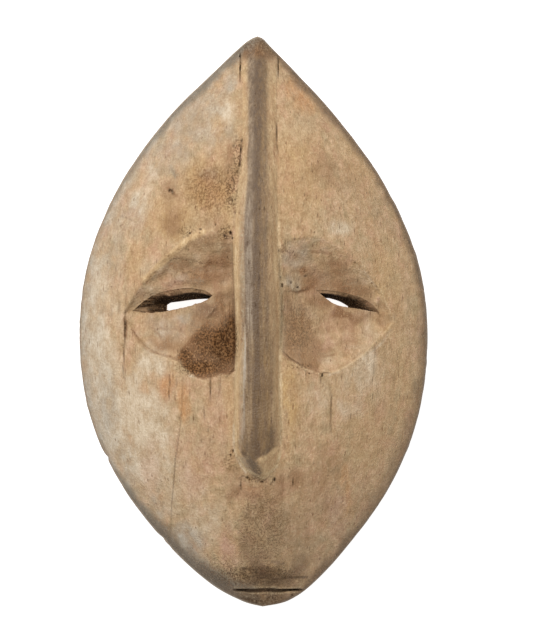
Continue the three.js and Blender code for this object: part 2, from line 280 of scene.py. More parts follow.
near_tip = np.array([1.5]), np.array([-38.0])
print("near its tip the nose stands", nose_height(*near_tip) - face_height(*near_tip), "mm off the face")

# %% [markdown]
# ## The eye sockets
# Each eye is a leaf-shaped hollow made by cuts from above and below that meet along the line of the slit:
# a valley with a brow wall and a cheek wall. Beside the nose the carver dug deeper, across the grain, and
# left a rough pocket. The depth is full on the slit line and runs out to a small step at the edge, as a
# share of the way up each wall, so the socket keeps its shape wherever its edges are drawn.

# %% The sockets
SOCKET_CURVES = [curve(LEFT_SOCKET[::-1]), curve(RIGHT_SOCKET)]
VALLEY = 0.15  # how far from the slit line the two walls begin to round into each other, as a share


def socket_share(x, y, table):
    """0 on the slit line, 1 and -1 on the brow and cheek edge; then nearness to the nose, depth, reach."""
    along_x, brow, line, cheek, deepest = table
    place = np.linspace(0, 1, len(along_x))
    near = np.interp(x, along_x, place if along_x[-1] < 0 else 1 - place)
    brow, line, cheek, deepest = (np.interp(x, along_x, row) for row in (brow, line, cheek, deepest))
    brow = brow + 0.25 * hills(x, y, 2.2, 50, 31)
    up, down = np.maximum(brow - line, 0.05), np.maximum(line - cheek, 0.05)
    share = np.where(y > line, (y - line) / up, (y - line) / down)
    inside = (x >= along_x[0]) & (x <= along_x[-1])
    return np.where(inside, share, 9.0), near, deepest, np.where(y > line, up, down)


def socket_depth(x, y):
    """start + (deepest - start) * (1 - |share|^power); a higher power makes the cheek wall fuller."""
    depth = np.zeros(np.shape(x))
    for table, upright, wear in zip(SOCKET_CURVES, SOCKET_STEP, EDGE_WEAR):
        share, near, deepest, reach = socket_share(x, y, table)
        brow_side = share > 0
        start = np.where(brow_side, *upright)
        power = np.where(brow_side, 1.5, 1.6 + 1.8 * near)
        away = np.minimum(np.abs(share), 1)
        bend_in = (np.hypot(away, VALLEY) - VALLEY) / (np.hypot(1, VALLEY) - VALLEY)
        cut = start + np.maximum(deepest - start, 0) * (1 - bend_in**power)
        inward = np.maximum((1 - away) * reach, 0)
        worn_brow = inward / (inward + wear[0] / 2) * (reach + wear[0] / 2) / reach
        worn_cheek = step(inward, 0, wear[1] * (1 - 0.5 * near))
        cut = cut * np.where(brow_side, worn_brow, worn_cheek)
        depth = np.maximum(depth, np.where(np.abs(share) < 1, cut, 0))
    return depth


print("left pocket", socket_depth(np.array([-10.0]), np.array([8.9])), "mm deep")

# %% [markdown]
# ## The net of points
# Blender needs points and faces. A plain square net would cut across the nose's edges and leave them
# ragged, so the net is bent to the carving: six guide lines run down the face, along both edges and along
# the feet and top edges of the nose, and two neighbouring rows follow the lower and the upper lip of both
# slits. The rows and columns lie closest where the carving is finest.

# %% Guide lines, columns and rows
def guides(y):
    """The six guide lines at y: both edges of the face and the nose's four lines, kept inside the edges."""
    left, right = outline(y, FACE_INSET)
    wide = right - left
    free = step(y, -76, -50)
    lines = [left]
    for share, line in zip((0.36, 0.42, 0.58, 0.64), nose_lines(y)):
        lines.append((left + share * wide) * (1 - free) + line * free)
    lines[1], lines[2] = np.maximum(lines[1], left + 0.1 * wide), np.maximum(lines[2], left + 0.2 * wide)
    lines[3], lines[4] = np.minimum(lines[3], left + 0.8 * wide), np.minimum(lines[4], left + 0.9 * wide)
    return np.array(lines + [right])


def column_spacing(x):
    """0.42 mm across the eyes, 0.75 mm towards the edges."""
    return np.where((x > -39) & (x < 42), 0.42, 0.75)


def row_spacing(y):
    """0.8 mm on the plain face, closer at the eyes, the nose tip, the mouth and the pointed top."""
    gap = np.full(np.shape(y), 0.82)
    for middle, half, fine in ((5, 23, 0.34), (-43, 8, 0.45), (-82, 6, 0.33), (84, 4, 0.5)):
        gap = np.minimum(gap, fine + (0.82 - fine) * step(np.abs(y - middle), half, half + 8))
    return gap


EYE_LEVEL = 4.9
marks = guides(np.array([EYE_LEVEL]))[:, 0]
segment, share = [], []
for k, (start, end) in enumerate(zip(marks, marks[1:])):
    places = spread(start, end, column_spacing)
    segment.append(np.full(len(places) - 1, k))
    share.append((places[:-1] - start) / (end - start))
segment, share = np.concatenate([*segment, [4]]), np.concatenate([*share, [1.0]])
stations = spread(-LENGTH / 2, LENGTH / 2, row_spacing)
print(len(stations), "rows and", len(segment), "columns")

# %% [markdown]
# ## Rows that follow the lips
# The two rows at eye level bend to the lips of the slits and lie a hair apart elsewhere. The rows above
# and below give way in step with them, less and less with distance, as lines of contour do around a pond.

# %% Bend the rows
def lip_line(opening, upper):
    """x and y of one lip of both slits, run on to the edges at eye level; upper chooses which lip."""
    xs, ys = [], []
    for side in ("left", "right"):
        table = curve(SLITS[side][opening], 60)
        xs.append(table[0])
        ys.append(table[1 if upper else 2])
    return np.concatenate(xs), np.concatenate(ys)


BEND_REACH, LIPS_APART = 24, 0.22  # how far from the lips rows still bend, and the least gap between lips
AT_EDGES = EYE_LEVEL - 1.2  # where the two rows at eye level meet the edges of the face


def bend(base, low_row, x_of, opening, half_width):
    """y of every point: each row's own y plus the lip's rise, faded out over BEND_REACH."""
    y = np.repeat(base[:, None], x_of(base[:1, None]).shape[1], axis=1)
    for _ in range(3):
        x = x_of(y)
        moved = []
        for upper in (False, True):
            lip_x, lip_y = lip_line(opening, upper)
            lip_x = np.concatenate([[-half_width], lip_x, [half_width]])
            lip_y = np.concatenate([[AT_EDGES], lip_y, [AT_EDGES]])
            moved.append(np.interp(x, lip_x, lip_y))
        moved[1] = np.maximum(moved[1], moved[0] + LIPS_APART)
        below = np.arange(len(base))[:, None] <= low_row
        anchor = np.where(below, base[low_row], base[low_row + 1])
        fade = 1 - step(np.abs(base[:, None] - anchor), 0, BEND_REACH)
        fade = fade * (1 - step(np.abs(x), 0.88 * half_width, 0.99 * half_width))
        y = base[:, None] + (np.where(below, moved[0], moved[1]) - anchor) * fade
    return x_of(y), y


def face_x(y):
    """x of every face column at the heights y, one column of y per column of the face."""
    lines = guides(np.broadcast_to(y, (y.shape[0], len(segment))))
    columns = np.arange(len(segment))
    start, end = lines[segment, :, columns].T, lines[segment + 1, :, columns].T
    return start + (end - start) * share


low_row = int(np.abs(stations - EYE_LEVEL).argmin())
face_rows = stations * (1 - FACE_INSET / (LENGTH / 2))
FACE_HALF, HOLLOW_HALF = 50.0, 43.5  # half widths at eye level, within which the rows have to come to rest
face_px, face_py = bend(face_rows, low_row, face_x, 0, FACE_HALF)
NOTCHES = [(-40.5, 0.7, 0.5), (-64.6, 0.9, 0.5), (-66.8, 0.5, 0.35)]  # y, half height, depth


def notched(y):
    """How far the left edge is broken away at y: a soft bump for each notch."""
    return sum(depth * np.exp(-(((y - middle) / half) ** 2)) for middle, half, depth in NOTCHES)


face_px += notched(face_py) * (1 - step(face_px - face_px[:, :1], 0, 3))
print("lips at rows", low_row, low_row + 1, "columns at least", np.diff(face_px[low_row]).min(), "mm apart")

# %% [markdown]
# ## Knife work and damage
# Over the plain forms comes what the tools and the years did. Broad shallow scallops come from the adze,
# a scoop to the left of the nose from one careless pass, rough end grain from digging across the fibres,
# and pits, nicks and a split below the outer corner of the left eye from wear. Each is a small change of
# height, and is named after what it is.

# %% Distance to a line
def near_line(x, y, points):
    """Signed distance to the nearest straight piece of a chain of points, and how far along that is."""
    best, along = np.full(np.shape(x), 1e3), np.zeros(np.shape(x))
    for k, ((ax, ay), (bx, by)) in enumerate(zip(points, points[1:])):
        long = np.hypot(bx - ax, by - ay)
        t = ((x - ax) * (bx - ax) + (y - ay) * (by - ay)) / long**2
        held = np.clip(t, 0, 1)
        away = np.hypot(x - ax - held * (bx - ax), y - ay - held * (by - ay))
        sign = np.where((x - ax) * (by - ay) - (y - ay) * (bx - ax) < 0, -1.0, 1.0)
        closer = away < np.abs(best) - 1e-6
        best, along = np.where(closer, sign * away, best), np.where(closer, k + held, along)
    return best, along


print("from (1, 1) to the X axis:", near_line(np.array([1.0]), np.array([1.0]), [(0, 0), (2, 0)]))

# %% Pits, crumbled end grain and cracks
PITS = [  # x, y, half width, half height, depth: single holes and chisel marks
    (-18.5, 25.8, 0.5, 0.32, 0.5), (-19, 24.9, 0.32, 0.29, 0.35), (-20.2, 24.6, 0.29, 0.26, 0.3),
    (-15.4, 26.9, 0.61, 0.26, 0.45), (-15.5, 25.9, 0.29, 0.29, 0.4), (-11, 28.3, 0.26, 0.44, 0.4),
    (-8.3, 25, 0.44, 0.47, 0.6), (-7.8, 24.2, 0.29, 0.29, 0.4), (-6.6, 25.9, 0.41, 0.67, 0.8),
    (-6.1, 24.3, 0.26, 0.44, 0.5), (-7, 27.4, 0.26, 0.26, 0.3), (-9.2, 26.9, 0.26, 0.26, 0.3),
    (-13.1, 24.4, 0.26, 0.26, 0.25), (-19.6, 27.3, 0.26, 0.26, 0.25), (-4, 78.8, 0.27, 0.47, 0.6),
    (-3.9, 75, 0.27, 0.59, 0.6), (-3.4, 52.9, 0.26, 0.53, 0.6), (-5.7, 51.3, 0.59, 0.44, 0.35),
    (-3.6, 50.3, 0.26, 0.64, 0.6), (-4, 46.1, 0.26, 0.64, 0.5), (-6, 42, 0.26, 0.41, 0.4),
    (-5.7, 39.9, 0.26, 0.41, 0.4), (-6, 35.2, 0.26, 0.38, 0.4), (-5.3, 31.7, 0.26, 0.38, 0.35),
    (-24.2, 38.4, 0.9, 0.7, 0.45), (12.2, 24, 0.35, 0.47, 0.35),
    (14.6, 26.6, 0.26, 0.26, 0.25), (17.9, 26, 0.35, 0.29, 0.35), (8.8, 22.2, 0.26, 0.26, 0.3),
    (7.6, 20.7, 0.26, 0.38, 0.3), (8.5, 20.3, 0.26, 0.26, 0.3), (7.7, 12.8, 0.32, 0.73, 0.7),
    (8.5, 10.6, 0.35, 0.67, 0.8), (11.1, 11.4, 0.32, 0.62, 0.5), (13, 10, 0.5, 0.38, 0.5),
    (15.3, 13.3, 0.62, 0.35, 0.35), (-2.9, -45.2, 0.35, 0.29, 0.5), (-1.7, -45.5, 0.44, 0.26, 0.5),
    (-0.4, -45.8, 0.44, 0.26, 0.5), (1.4, -46.7, 0.35, 0.26, 0.6), (2.6, -46.9, 0.47, 0.26, 0.6),
    (4, -47, 0.32, 0.26, 0.4), (6.2, -46.2, 0.41, 0.7, 0.9), (-6.6, -39, 0.26, 0.47, 0.6),
    (-5.9, -37.7, 0.26, 0.53, 0.6), (20.2, -15.7, 0.38, 0.58, 0.8), (16.4, -15.1, 0.38, 0.26, 0.4),
    (11.5, -81.3, 0.27, 0.56, 0.5), (-37.5, -1.3, 0.7, 1.9, 0.2),
]
CRUMBLED = [  # x, y, half width, half height, strength: where the end grain breaks into crumbs
    (-19.6, 26.5, 3.2, 1.5, 0.35), (-7.9, 26.1, 2.3, 2.6, 0.5), (9.4, 21.3, 2, 3, 0.25),
    (-13.5, -6.5, 4.5, 6, 0.65), (-8.2, -6.9, 4.1, 7.6, 1), (-6.2, -4, 1.8, 7, 1),
    (-15.5, -13.6, 7, 2.6, 0.9), (-19.7, -10.1, 2.9, 2.3, 0.7), (-32.6, 5.2, 1.8, 1, 0.5),
    (0.5, -46, 5, 1.2, 0.5), (-6.2, -41, 3.5, 3.5, 0.2), (13.7, -13, 4.7, 1.2, 0.4),
    (13.5, -2.5, 5, 9, 0.22), (-4.5, 48.8, 1.5, 7, 0.5), (-6.2, 38.4, 2, 8.8, 0.35),
    (-12.2, 38.5, 9, 9, 0.3), (2.6, -82.8, 8.9, 2.4, 0.6), (1.5, 81, 7, 3.5, 0.3),
    (2.6, -75.3, 14, 4.1, 0.6), (2.6, -61.2, 8.8, 13, 0.3), (-9.3, -73.6, 8.9, 5.3, 0.2),
]
CRACKS = [  # strength and the points a crack runs through
    (0.85, [(-37.9, 1.5), (-37.7, 0.1), (-37.8, -4), (-37.9, -5.7), (-38.1, -11), (-38.4, -15.8)]),
    (0.5, [(-38.3, -15.9), (-37.7, -17.1)]), (0.35, [(-37.4, 9), (-37.5, 3.7), (-37.9, 1.3)]),
    (0.35, [(-39.4, 5.7), (-39.5, 2.2)]), (0.3, [(-41.7, 4.6), (-41.8, 0.1)]),
    (0.3, [(-42, 10.3), (-44.8, 7.7)]), (0.25, [(-44.8, 3.7), (-44.8, 1.9)]),
    (0.5, [(-20.4, -16.5), (-20.8, -24.4), (-21.2, -29.1), (-22.1, -36.2), (-22.8, -40.3), (-23.3, -46.3),
        (-24, -54.1), (-24.5, -61.8), (-24.7, -64)]),
    (0.8, [(-24.5, -15.6), (-24.6, -23)]), (0.4, [(-22.3, -15.9), (-22.3, -18.8)]),
    (0.5, [(-18.6, -20.3), (-18.7, -22.6)]), (0.8, [(-12.3, -15.9), (-12.6, -23.2)]),
    (0.7, [(-9.7, -15.9), (-9.8, -21.7)]), (0.35, [(-5.7, -16.4), (-5.7, -23.1)]),
    (0.55, [(-14.2, -25.5), (-14.3, -29)]), (0.5, [(-13, -30.5), (-13.1, -33.1)]),
    (0.5, [(-15, -34.3), (-15.1, -35.5)]), (0.6, [(-21.6, -27.6), (-21.7, -28.8)]),
    (0.7, [(-5.6, -13.8), (-7.9, -16.4)]), (0.7, [(22.7, -19.1), (22.8, -22.9), (22.7, -32.6)]),
    (0.4, [(36.7, -4.9), (35.8, -7.2), (35.7, -10.7)]),
    (0.35, [(36.1, -8.4), (35.6, -13.1), (34.8, -18.4)]), (0.3, [(33.7, -9), (33.5, -14.8)]),
    (0.5, [(19.7, -15.9), (19.7, -18.2)]), (0.3, [(22.7, -18.3), (22.7, -21.5)]),
    (0.25, [(41.5, -13.7), (41.4, -20.5)]), (0.7, [(9, -8.9), (10.5, -10.5), (12.2, -11.6), (13.7, -12.5)]),
    (0.4, [(13.7, -12.5), (14.8, -14.1), (16.3, -15), (18.6, -15.5)]),
    (0.7, [(19.2, -15.5), (20.4, -15), (22.7, -15)]),
    (0.9, [(-3.9, 79.7), (-3.8, 76.9), (-3.9, 73.8), (-3.9, 70.7)]),
    (0.5, [(-3.3, 53.8), (-3.6, 50.3), (-3.8, 46.7), (-4.2, 43.7)]),
    (1, [(7.4, 79.5), (7.4, 75.8), (7.4, 72.7)]), (0.9, [(6.9, 58.1), (6.9, 52.7)]),
    (0.5, [(6.9, 52.4), (7.4, 49.1)]), (0.8, [(-3.5, -46.6), (-3.5, -49.3)]),
    (0.5, [(10.4, -44.9), (10.5, -46)]), (0.8, [(11.7, -45.8), (11.7, -48.1)]),
    (0.6, [(36.6, 3.1), (37.4, 1.6)]), (0.8, [(-24.8, 38.6), (-23.1, 37.3)]),
    (0.4, [(-39.2, 31.2), (-37.6, 30.7), (-35.5, 29.6)]), (0.4, [(10, -32.8), (10, -34.3)]),
    (0.4, [(9.3, -35.7), (9.2, -37.2)]), (0.5, [(-8.9, 6.9), (-8.7, 4.5)]),
    (0.35, [(-13.3, 1), (-12.1, 1.3)]),
]
print(len(PITS), "pits,", len(CRUMBLED), "crumbled places and", len(CRACKS), "cracks")

# %% Pockets, ledges, swells and the scoop
LEFT_POCKET = [
    (-11.2, 8.2), (-11.9, 4.1), (-14.1, 0.4), (-17.1, -3.2),
    (-21.8, -8.3), (-22.5, -10.5), (-20.3, -13.8), (-17, -16.3),
]
RIGHT_POCKET = [
    (14.8, 7.8), (17.4, 1.2), (17.9, -3.2), (20.2, -6.9), (21.5, -9.5), (20.7, -11.6), (19.5, -13.3),
]
LEFT_LEDGE = [
    (-27.4, 13.1), (-25.3, 15.7), (-24.4, 18.3), (-20.9, 18.6), (-17.9, 18), (-15, 17.1), (-11.5, 17.4),
]
LOWER_LEDGE = [(-21.5, 13.9), (-18.5, 14.5), (-15.6, 13.1)]
CHISELLED = [(7.8, 9.2), (13.1, 8.9), (17.3, 9.8)]
SWELLS = [  # rise, half width and the points of a soft ridge, or of a groove where the rise is below 0
    (0.45, 2.4, [(-30.4, 9), (-26.5, 11.2), (-20, 12.6), (-14.1, 12.2)]),
    (0.8, 5.5, [(-25.9, -3.7), (-20, -6)]), (0.5, 5, [(26.1, -3.4), (32, -4)]),
    (0.35, 0.5, [(-10.3, 5.7), (-11.5, 3.7), (-13.8, 1.3)]),
    (0.3, 0.4, [(-9.7, 6.3), (-9.1, 1.9), (-8.3, -1.3)]), (0.35, 0.6, [(9.6, 11.9), (9.8, 10.4)]),
    (0.35, 0.6, [(12, 11.6), (12, 10.1)]), (0.25, 0.8, [(13.7, 11.3), (15.2, 10.7)]),
    (0.5, 1, [(36.6, 7.2), (36.2, 3.7)]), (-0.3, 0.4, [(-8, 4.8), (-7.4, -2.5)]),
    (-0.3, 0.4, [(-7, 5.4), (-6.5, -1.9)]), (-0.3, 0.4, [(-5.9, 5.4), (-5.8, -1)]),
    (-0.3, 0.6, [(-10.6, 5.4), (-11.5, 2.8)]),
]
SCALLOPS = ((0.16, 9, 26, 1), (0.08, 3.2, 12, 2), (0.05, 1.1, 2.6, 4))  # layers of hills, by the adze
KNIFE_MARKS = ((0.2, 4, 3, 8), (0.08, 1.3, 1.1, 10))  # and by the knife in the sockets
LEDGES = ((LEFT_LEDGE, 0.25, 4.5), (LOWER_LEDGE, 0.3, 2.5), (CHISELLED, 0.5, 3.5))  # line, drop, run-out
SCOOP = (-14.5, 38, 9.5, 15.5, 0.9)  # x, y, half width, half height and depth of one careless pass
print(len(SWELLS), "swells and grooves")

# %% Relief of the face
def ovals(x, y, table, start=0.35, end=1.2):
    """Sum of soft ovals, strength * (1 - smooth step of the distance in half widths)."""
    total = np.zeros(np.shape(x))
    for px, py, wide, tall, strength in table:
        total = total + strength * (1 - step(np.hypot((x - px) / wide, (y - py) / tall), start, end))
    return total


def crumbs(x, y):
    """Holes half a millimetre wide, from 0 to 1, in the crumbled places only."""
    grains = step(hills(x, y, 0.6, 0.5, 7) + 0.8 * hills(x, y, 0.36, 0.34, 9), 0.0, 0.7)
    return np.clip(ovals(x, y, CRUMBLED), 0, 1) * grains


def cracks(x, y):
    """1 in the middle of a crack and 0 beside it, times its strength, thinning out towards both ends."""
    total = np.zeros(np.shape(x))
    for strength, points in CRACKS:
        away, along = near_line(x, y, points)
        taper = 0.55 + 0.45 * np.sin(np.pi * along / (len(points) - 1))
        open_here = 1 - step(np.abs(away), 0.06, 0.2 + 0.16 * strength)
        total = np.maximum(total, strength * taper * open_here)
    return total


def ledge(x, y, points, drop, run_out):
    """A sudden drop on the right of a line, as one walks along it, that comes back over run_out."""
    away, along = near_line(x, y, points)
    last = len(points) - 1
    ends = step(along, 0, 0.4) * (1 - step(along, last - 0.4, last))
    return -drop * ends * step(away, -0.25, 0.35) * (1 - step(away, 0.5, run_out))


def relief(x, y):
    """Sum of adze scallops, the scoop, knife work in the sockets, ledges, swells, pits, crumbs, cracks."""
    height = layered(x, y, SCALLOPS)
    scoop_x, scoop_y, wide, tall, deep = SCOOP
    scoop = np.hypot((x - scoop_x) / wide, (y - scoop_y) / tall)
    torn = 0.22 * hills(x, y, 0.9, 1.6, 3) * (1 - step(scoop, 0.5, 1.1))
    height = height - deep * (1 - step(scoop, 0.1, 1)) - torn
    for table, pocket, side in zip(SOCKET_CURVES, (LEFT_POCKET, RIGHT_POCKET), (-1, 1)):
        share = socket_share(x, y, table)[0]
        within = 1 - step(np.abs(share), 0.85, 1.0)
        away, _ = near_line(x, y, pocket)
        top = pocket[0][1] + 1
        below = within * (y < top) * step(top - y, 0, 3)
        height = height - 0.4 * below * step(side * away, -1.5, 2.5)
        height = height + within * layered(x, y, KNIFE_MARKS)
    for points, drop, run_out in LEDGES:
        height = height + ledge(x, y, points, drop, run_out)
    for rise, half, points in SWELLS:
        away, _ = near_line(x, y, points)
        height = height + rise * (1 - step(np.abs(away), 0, half))
    return height - ovals(x, y, PITS, 0.2, 1.1) - 0.3 * crumbs(x, y) - 0.35 * cracks(x, y)


print("relief at the left pit", relief(np.array([-24.2]), np.array([38.4])), "mm")

# %% All of it, with the mouth cut and the chin bevel
MOUTH_LIPS = 0.35  # width of the slope at each lip of the mouth cut
LOWEST = 4.0  # no cut goes below this height, so the wall behind it stays whole
NOSE_FILLET, CHIN_ROUNDING = 0.4, 0.3  # width of the soft crease round the nose and of the edge at the chin


def carved_height(x, y):
    """Dome with its relief, less the sockets, with the nose on it, then the mouth cut and chin bevel."""
    height = face_height(x, y) + relief(x, y) * step(y, -84.1, -80) - socket_depth(x, y)
    height = soft_high(np.maximum(height, LOWEST), nose_height(x, y), NOSE_FILLET)
    mouth_y = MOUTH["y"] + 0.15 * hills(x, 0 * y, 4, 9, 12)
    thick = 0.16 + 0.26 * step(x, -3.5, -1) * (1 - step(x, 6, 10))
    deep = MOUTH["depth"] * (1 - step(np.abs(y - mouth_y), thick, thick + MOUTH_LIPS))
    deep = deep * step(x, MOUTH["left"] - 0.8, MOUTH["left"] + 1.5)
    deep = deep * (1 - step(x, MOUTH["right"] - 4, MOUTH["right"] + 0.4))
    start = face_height(np.array(NOSE_TIP[0]), np.array(CHIN_BEVEL["y"])) - CHIN_BEVEL["drop"]
    bevel = start + CHIN_BEVEL["fall"] * (y - CHIN_BEVEL["y"]) + 0.12 * hills(x, y, 0.8, 0.8, 13)
    height = np.where(y < CHIN_BEVEL["y"], soft_low(height, bevel, CHIN_ROUNDING), height)
    return height - deep


face_pz = carved_height(face_px, face_py)
print("face runs from", face_pz.min(), "to", face_pz.max(), "mm high")

# %% [markdown]
# ## Side wall, back rim and hollow
# The side wall leans out a little from the back to a blunt edge. The back is a flat rim round a bowl that
# was hollowed with a gouge, which leaves overlapping scallops. Only the front shows in the picture, so
# the bowl is the usual one for a mask of this kind and is kept plain.

# %% Side wall, rim and hollow
SIDE_PROFILE = [(1.2, 0.0), (0.5, 0.5), (0.0, 2.4), (0.15, 4.4), (0.5, 6.0)]  # inset and height of a ring


def side_rings(side):
    """Rings of the side wall; side is 0 for left and 1 for right. Small hills move each ring in and out."""
    rings = []
    for inset, z in SIDE_PROFILE:
        y = stations * (1 - inset / (LENGTH / 2))
        hacked = 0.15 + 0.15 * hills(y, 0 * y + 4 * z + 50 * side, 2.5, 6, 21)
        hacked = hacked * step(LENGTH / 2 - np.abs(stations), 0, 3)
        x = outline(y, inset)[side] * (1 - hacked / (WIDTH / 2)) + (1 - side) * notched(y)
        rings.append(np.stack([x, y, np.full(len(y), z)], axis=-1))
    return np.stack(rings, axis=1)


def hollow_x(y):
    """x of every hollow column at heights y: the same share of the width, so they fan with the outline."""
    left, right = outline(y, RIM, TIP_RIM)
    return left + (right - left) * hollow_share


GOUGE = (6, 15, 0.5)  # width, length and depth of one stroke


def hollow_height(x, y):
    """LIP + (CREST - WALL - LIP) * (1 - reach^2.4) * (1 - off^3), and the strokes of the gouge."""
    left, right = outline(y, RIM, TIP_RIM)
    off = np.minimum(np.abs(2 * x - left - right) / np.maximum(right - left, 0.01), 1)
    reach = np.minimum(np.abs(y) / (LENGTH / 2 - TIP_RIM), 1)
    bowl = (1 - reach**2.4) * (1 - off**3)
    across = x / GOUGE[0] + 0.4 * hills(x, y, 9, 12, 23)
    lengthwise = y / GOUGE[1] + 0.5 * hills(x, y, 6, 30, 24)
    stroke = 1 - (2 * (across % 1) - 1) ** 2 * 0.6 - (2 * (lengthwise % 1) - 1) ** 2 * 0.4
    return LIP + (CREST - WALL - LIP) * bowl + GOUGE[2] * stroke * np.minimum(bowl * 4, 1)


hollow_edges = np.array(outline(np.array([EYE_LEVEL]), RIM, TIP_RIM)).ravel()
hollow_marks = [hollow_edges[0]]
for side in ("left", "right"):
    hollow_marks += [SLITS[side][1][0][0], SLITS[side][1][-1][0]]
hollow_marks.append(hollow_edges[1])
gaps = (2.5, 1.0, 2.5, 1.0, 2.5)  # millimetres between columns, closer where a slit opens
places = []
for a, b, gap in zip(hollow_marks, hollow_marks[1:], gaps):
    places.append(spread(a, b, lambda x: 0 * x + gap)[:-1])
places = np.concatenate([*places, hollow_edges[1:]])
hollow_share = (places - hollow_edges[0]) / (hollow_edges[1] - hollow_edges[0])
hollow_rows = stations * (1 - TIP_RIM / (LENGTH / 2))
hollow_px, hollow_py = bend(hollow_rows, low_row, hollow_x, 1, HOLLOW_HALF)
hollow_pz = hollow_height(hollow_px, hollow_py)
print("hollow", hollow_pz.shape, "up to", hollow_pz.max(), "mm deep")

# %% [markdown]
# ## Join the parts of the net
# Each row of the net is one closed loop: up the left side, across the face, down the right side, across
# the rim, back through the hollow and out to where it began. Stacked rows make one tight skin, which a
# solid needs. Inside the slits the two skins are opened and joined by the slits' own walls.

# %% One grid of loops, opened at the slits
left_side, right_side = side_rings(0), side_rings(1)[:, ::-1]
face_part = np.stack([face_px, face_py, face_pz], axis=-1)
hollow_part = np.stack([hollow_px, hollow_py, hollow_pz], axis=-1)[:, ::-1]
rim_right, rim_left = hollow_part[:, :1] * [1, 1, 0], hollow_part[:, -1:] * [1, 1, 0]
grid = np.concatenate([left_side, face_part, right_side, rim_right, hollow_part, rim_left], axis=1)
rows, loop = grid.shape[:2]
first_face = left_side.shape[1]
last_hollow = loop - 2
number = np.arange(rows * loop).reshape(rows, loop)
after = np.roll(number, -1, axis=1)
quads = np.stack([number[:-1], after[:-1], after[1:], number[1:]], axis=-1)
kept = np.ones(quads.shape[:2], bool)
print(rows, "loops of", loop, "points")

# %% Chains of points into quads and triangles
def zipped(a, at_a, b, at_b):
    """Triangles that join two chains of numbers whose points lie at at_a and at_b between 0 and 1."""
    middle_a, middle_b = (at_a[1:] + at_a[:-1]) / 2, (at_b[1:] + at_b[:-1]) / 2
    on_b, on_a = np.searchsorted(middle_b, middle_a), np.searchsorted(middle_a, middle_b)
    return np.concatenate(
        [np.stack([a[:-1], a[1:], b[on_b]], axis=-1), np.stack([b[1:], b[:-1], a[on_a]], axis=-1)]
    )


def between(upper_line, lower_line, flip):
    """Quads from one chain of numbers down to the next; flip turns them round."""
    made = np.stack([upper_line[:-1], upper_line[1:], lower_line[1:], lower_line[:-1]], axis=-1)
    return made[:, ::-1] if flip else made


print("one quad:", between(np.array([0, 1]), np.array([2, 3]), False))

# %% Walls of the slits
SLIT_RINGS = [  # way to the hollow, drop and painted shade of each ring of the wall
    (0.0, 0.06, 0.0),
    (0.38, 0.15, 0.25),
    (0.53, 0.58, 0.95),
    (0.96, 0.96, 1.0),
]
SPLINTER = (-16.9, 0.35, 0.55)  # x, half width and height of the wood left standing on the left lower lip


def in_shadow(x, y, ring, lower):
    """A ring's own painted shade, more in the outer corners and past the hole, less on crumbs of wood."""
    way, _, dark = SLIT_RINGS[ring]
    corner = step(-x, 27.5, 31)
    dark = np.maximum(dark, (0.75 if ring < 2 else 0.92) * corner)
    past_hole = step(-x, 24, 26) + (1.0 if lower else 0.8) * step(x, 25, 28)
    dark = np.maximum(dark, (way > (0 if lower else 0.1)) * past_hole)
    dark = np.maximum(dark, (0.35 if ring < 1 else 0.85) * step(x, 30, 35))
    return dark * (1 - 0.75 * corner * step(hills(x, y, 0.5, 0.5, 45), -0.2, 0.3))


new_points, wall_quads, wall_triangles = [], [], []
slit_shade = []  # painted shade on each new point of a slit's wall, from 0 to 1
count = rows * loop
for side in ("left", "right"):
    front, back = SLITS[side]
    at_face = [int(np.abs(face_px[low_row] - x).argmin()) for x in (front[0][0], front[-1][0])]
    at_hollow = [int(np.abs(hollow_px[low_row] - x).argmin()) for x in (back[0][0], back[-1][0])]
    kept[low_row, first_face + at_face[0] : first_face + at_face[1]] = False
    kept[low_row, last_hollow - at_hollow[1] : last_hollow - at_hollow[0]] = False
    chains, ends = [], []
    for row in (low_row, low_row + 1):
        top = number[row, first_face + at_face[0] : first_face + at_face[1] + 1]
        bottom = number[row, last_hollow - at_hollow[1] : last_hollow - at_hollow[0] + 1][::-1]
        points, floor = grid.reshape(-1, 3)[top], grid.reshape(-1, 3)[bottom]
        at_top, at_bottom = ((q[:, 0] - q[0, 0]) / (q[-1, 0] - q[0, 0]) for q in (points, floor))
        under = np.stack([np.interp(at_top, at_bottom, floor[:, k]) for k in range(3)], axis=-1)
        lines = [top]
        for ring, (way, drop, _) in enumerate(SLIT_RINGS):
            made = points + (under - points) * [way, way, drop]
            crumbly = 0.12 + 0.4 * step(-made[:, 0], 27, 30)
            rough = crumbly * hills(made[:, 0], made[:, 2], 0.8, 0.7, 40 + ring)
            made[1:-1, 1] += (rough if row == low_row else -rough)[1:-1] * (1 - way)
            if row == low_row:
                from_splinter = (made[:, 0] - SPLINTER[0]) / SPLINTER[1]
                made[:, 1] += SPLINTER[2] * np.exp(-(from_splinter**2)) * (way > 0.3)
            new_points.append(made)
            slit_shade.append(in_shadow(made[:, 0], made[:, 1], ring, row == low_row))
            lines.append(np.arange(count, count + len(made)))
            count += len(made)
        flip = row != low_row
        wall_quads += [between(a, b, flip) for a, b in zip(lines, lines[1:])]
        sewn = zipped(lines[-1], at_top, bottom, at_bottom)
        wall_triangles.append(sewn[:, ::-1] if flip else sewn)
        chains.append([*lines, bottom])
    low_ends, up_ends = (np.array([[line[0], line[-1]] for line in chain]) for chain in chains)
    for k, flip in ((0, True), (1, False)):
        made = np.stack([low_ends[:-1, k], up_ends[:-1, k], up_ends[1:, k], low_ends[1:, k]], axis=-1)
        wall_quads.append(made[:, ::-1] if flip else made)
points = np.concatenate([grid.reshape(-1, 3), *new_points])
quads = np.concatenate([quads[kept], *wall_quads])
print(len(points), "points,", len(quads), "quads and", sum(map(len, wall_triangles)), "triangles")

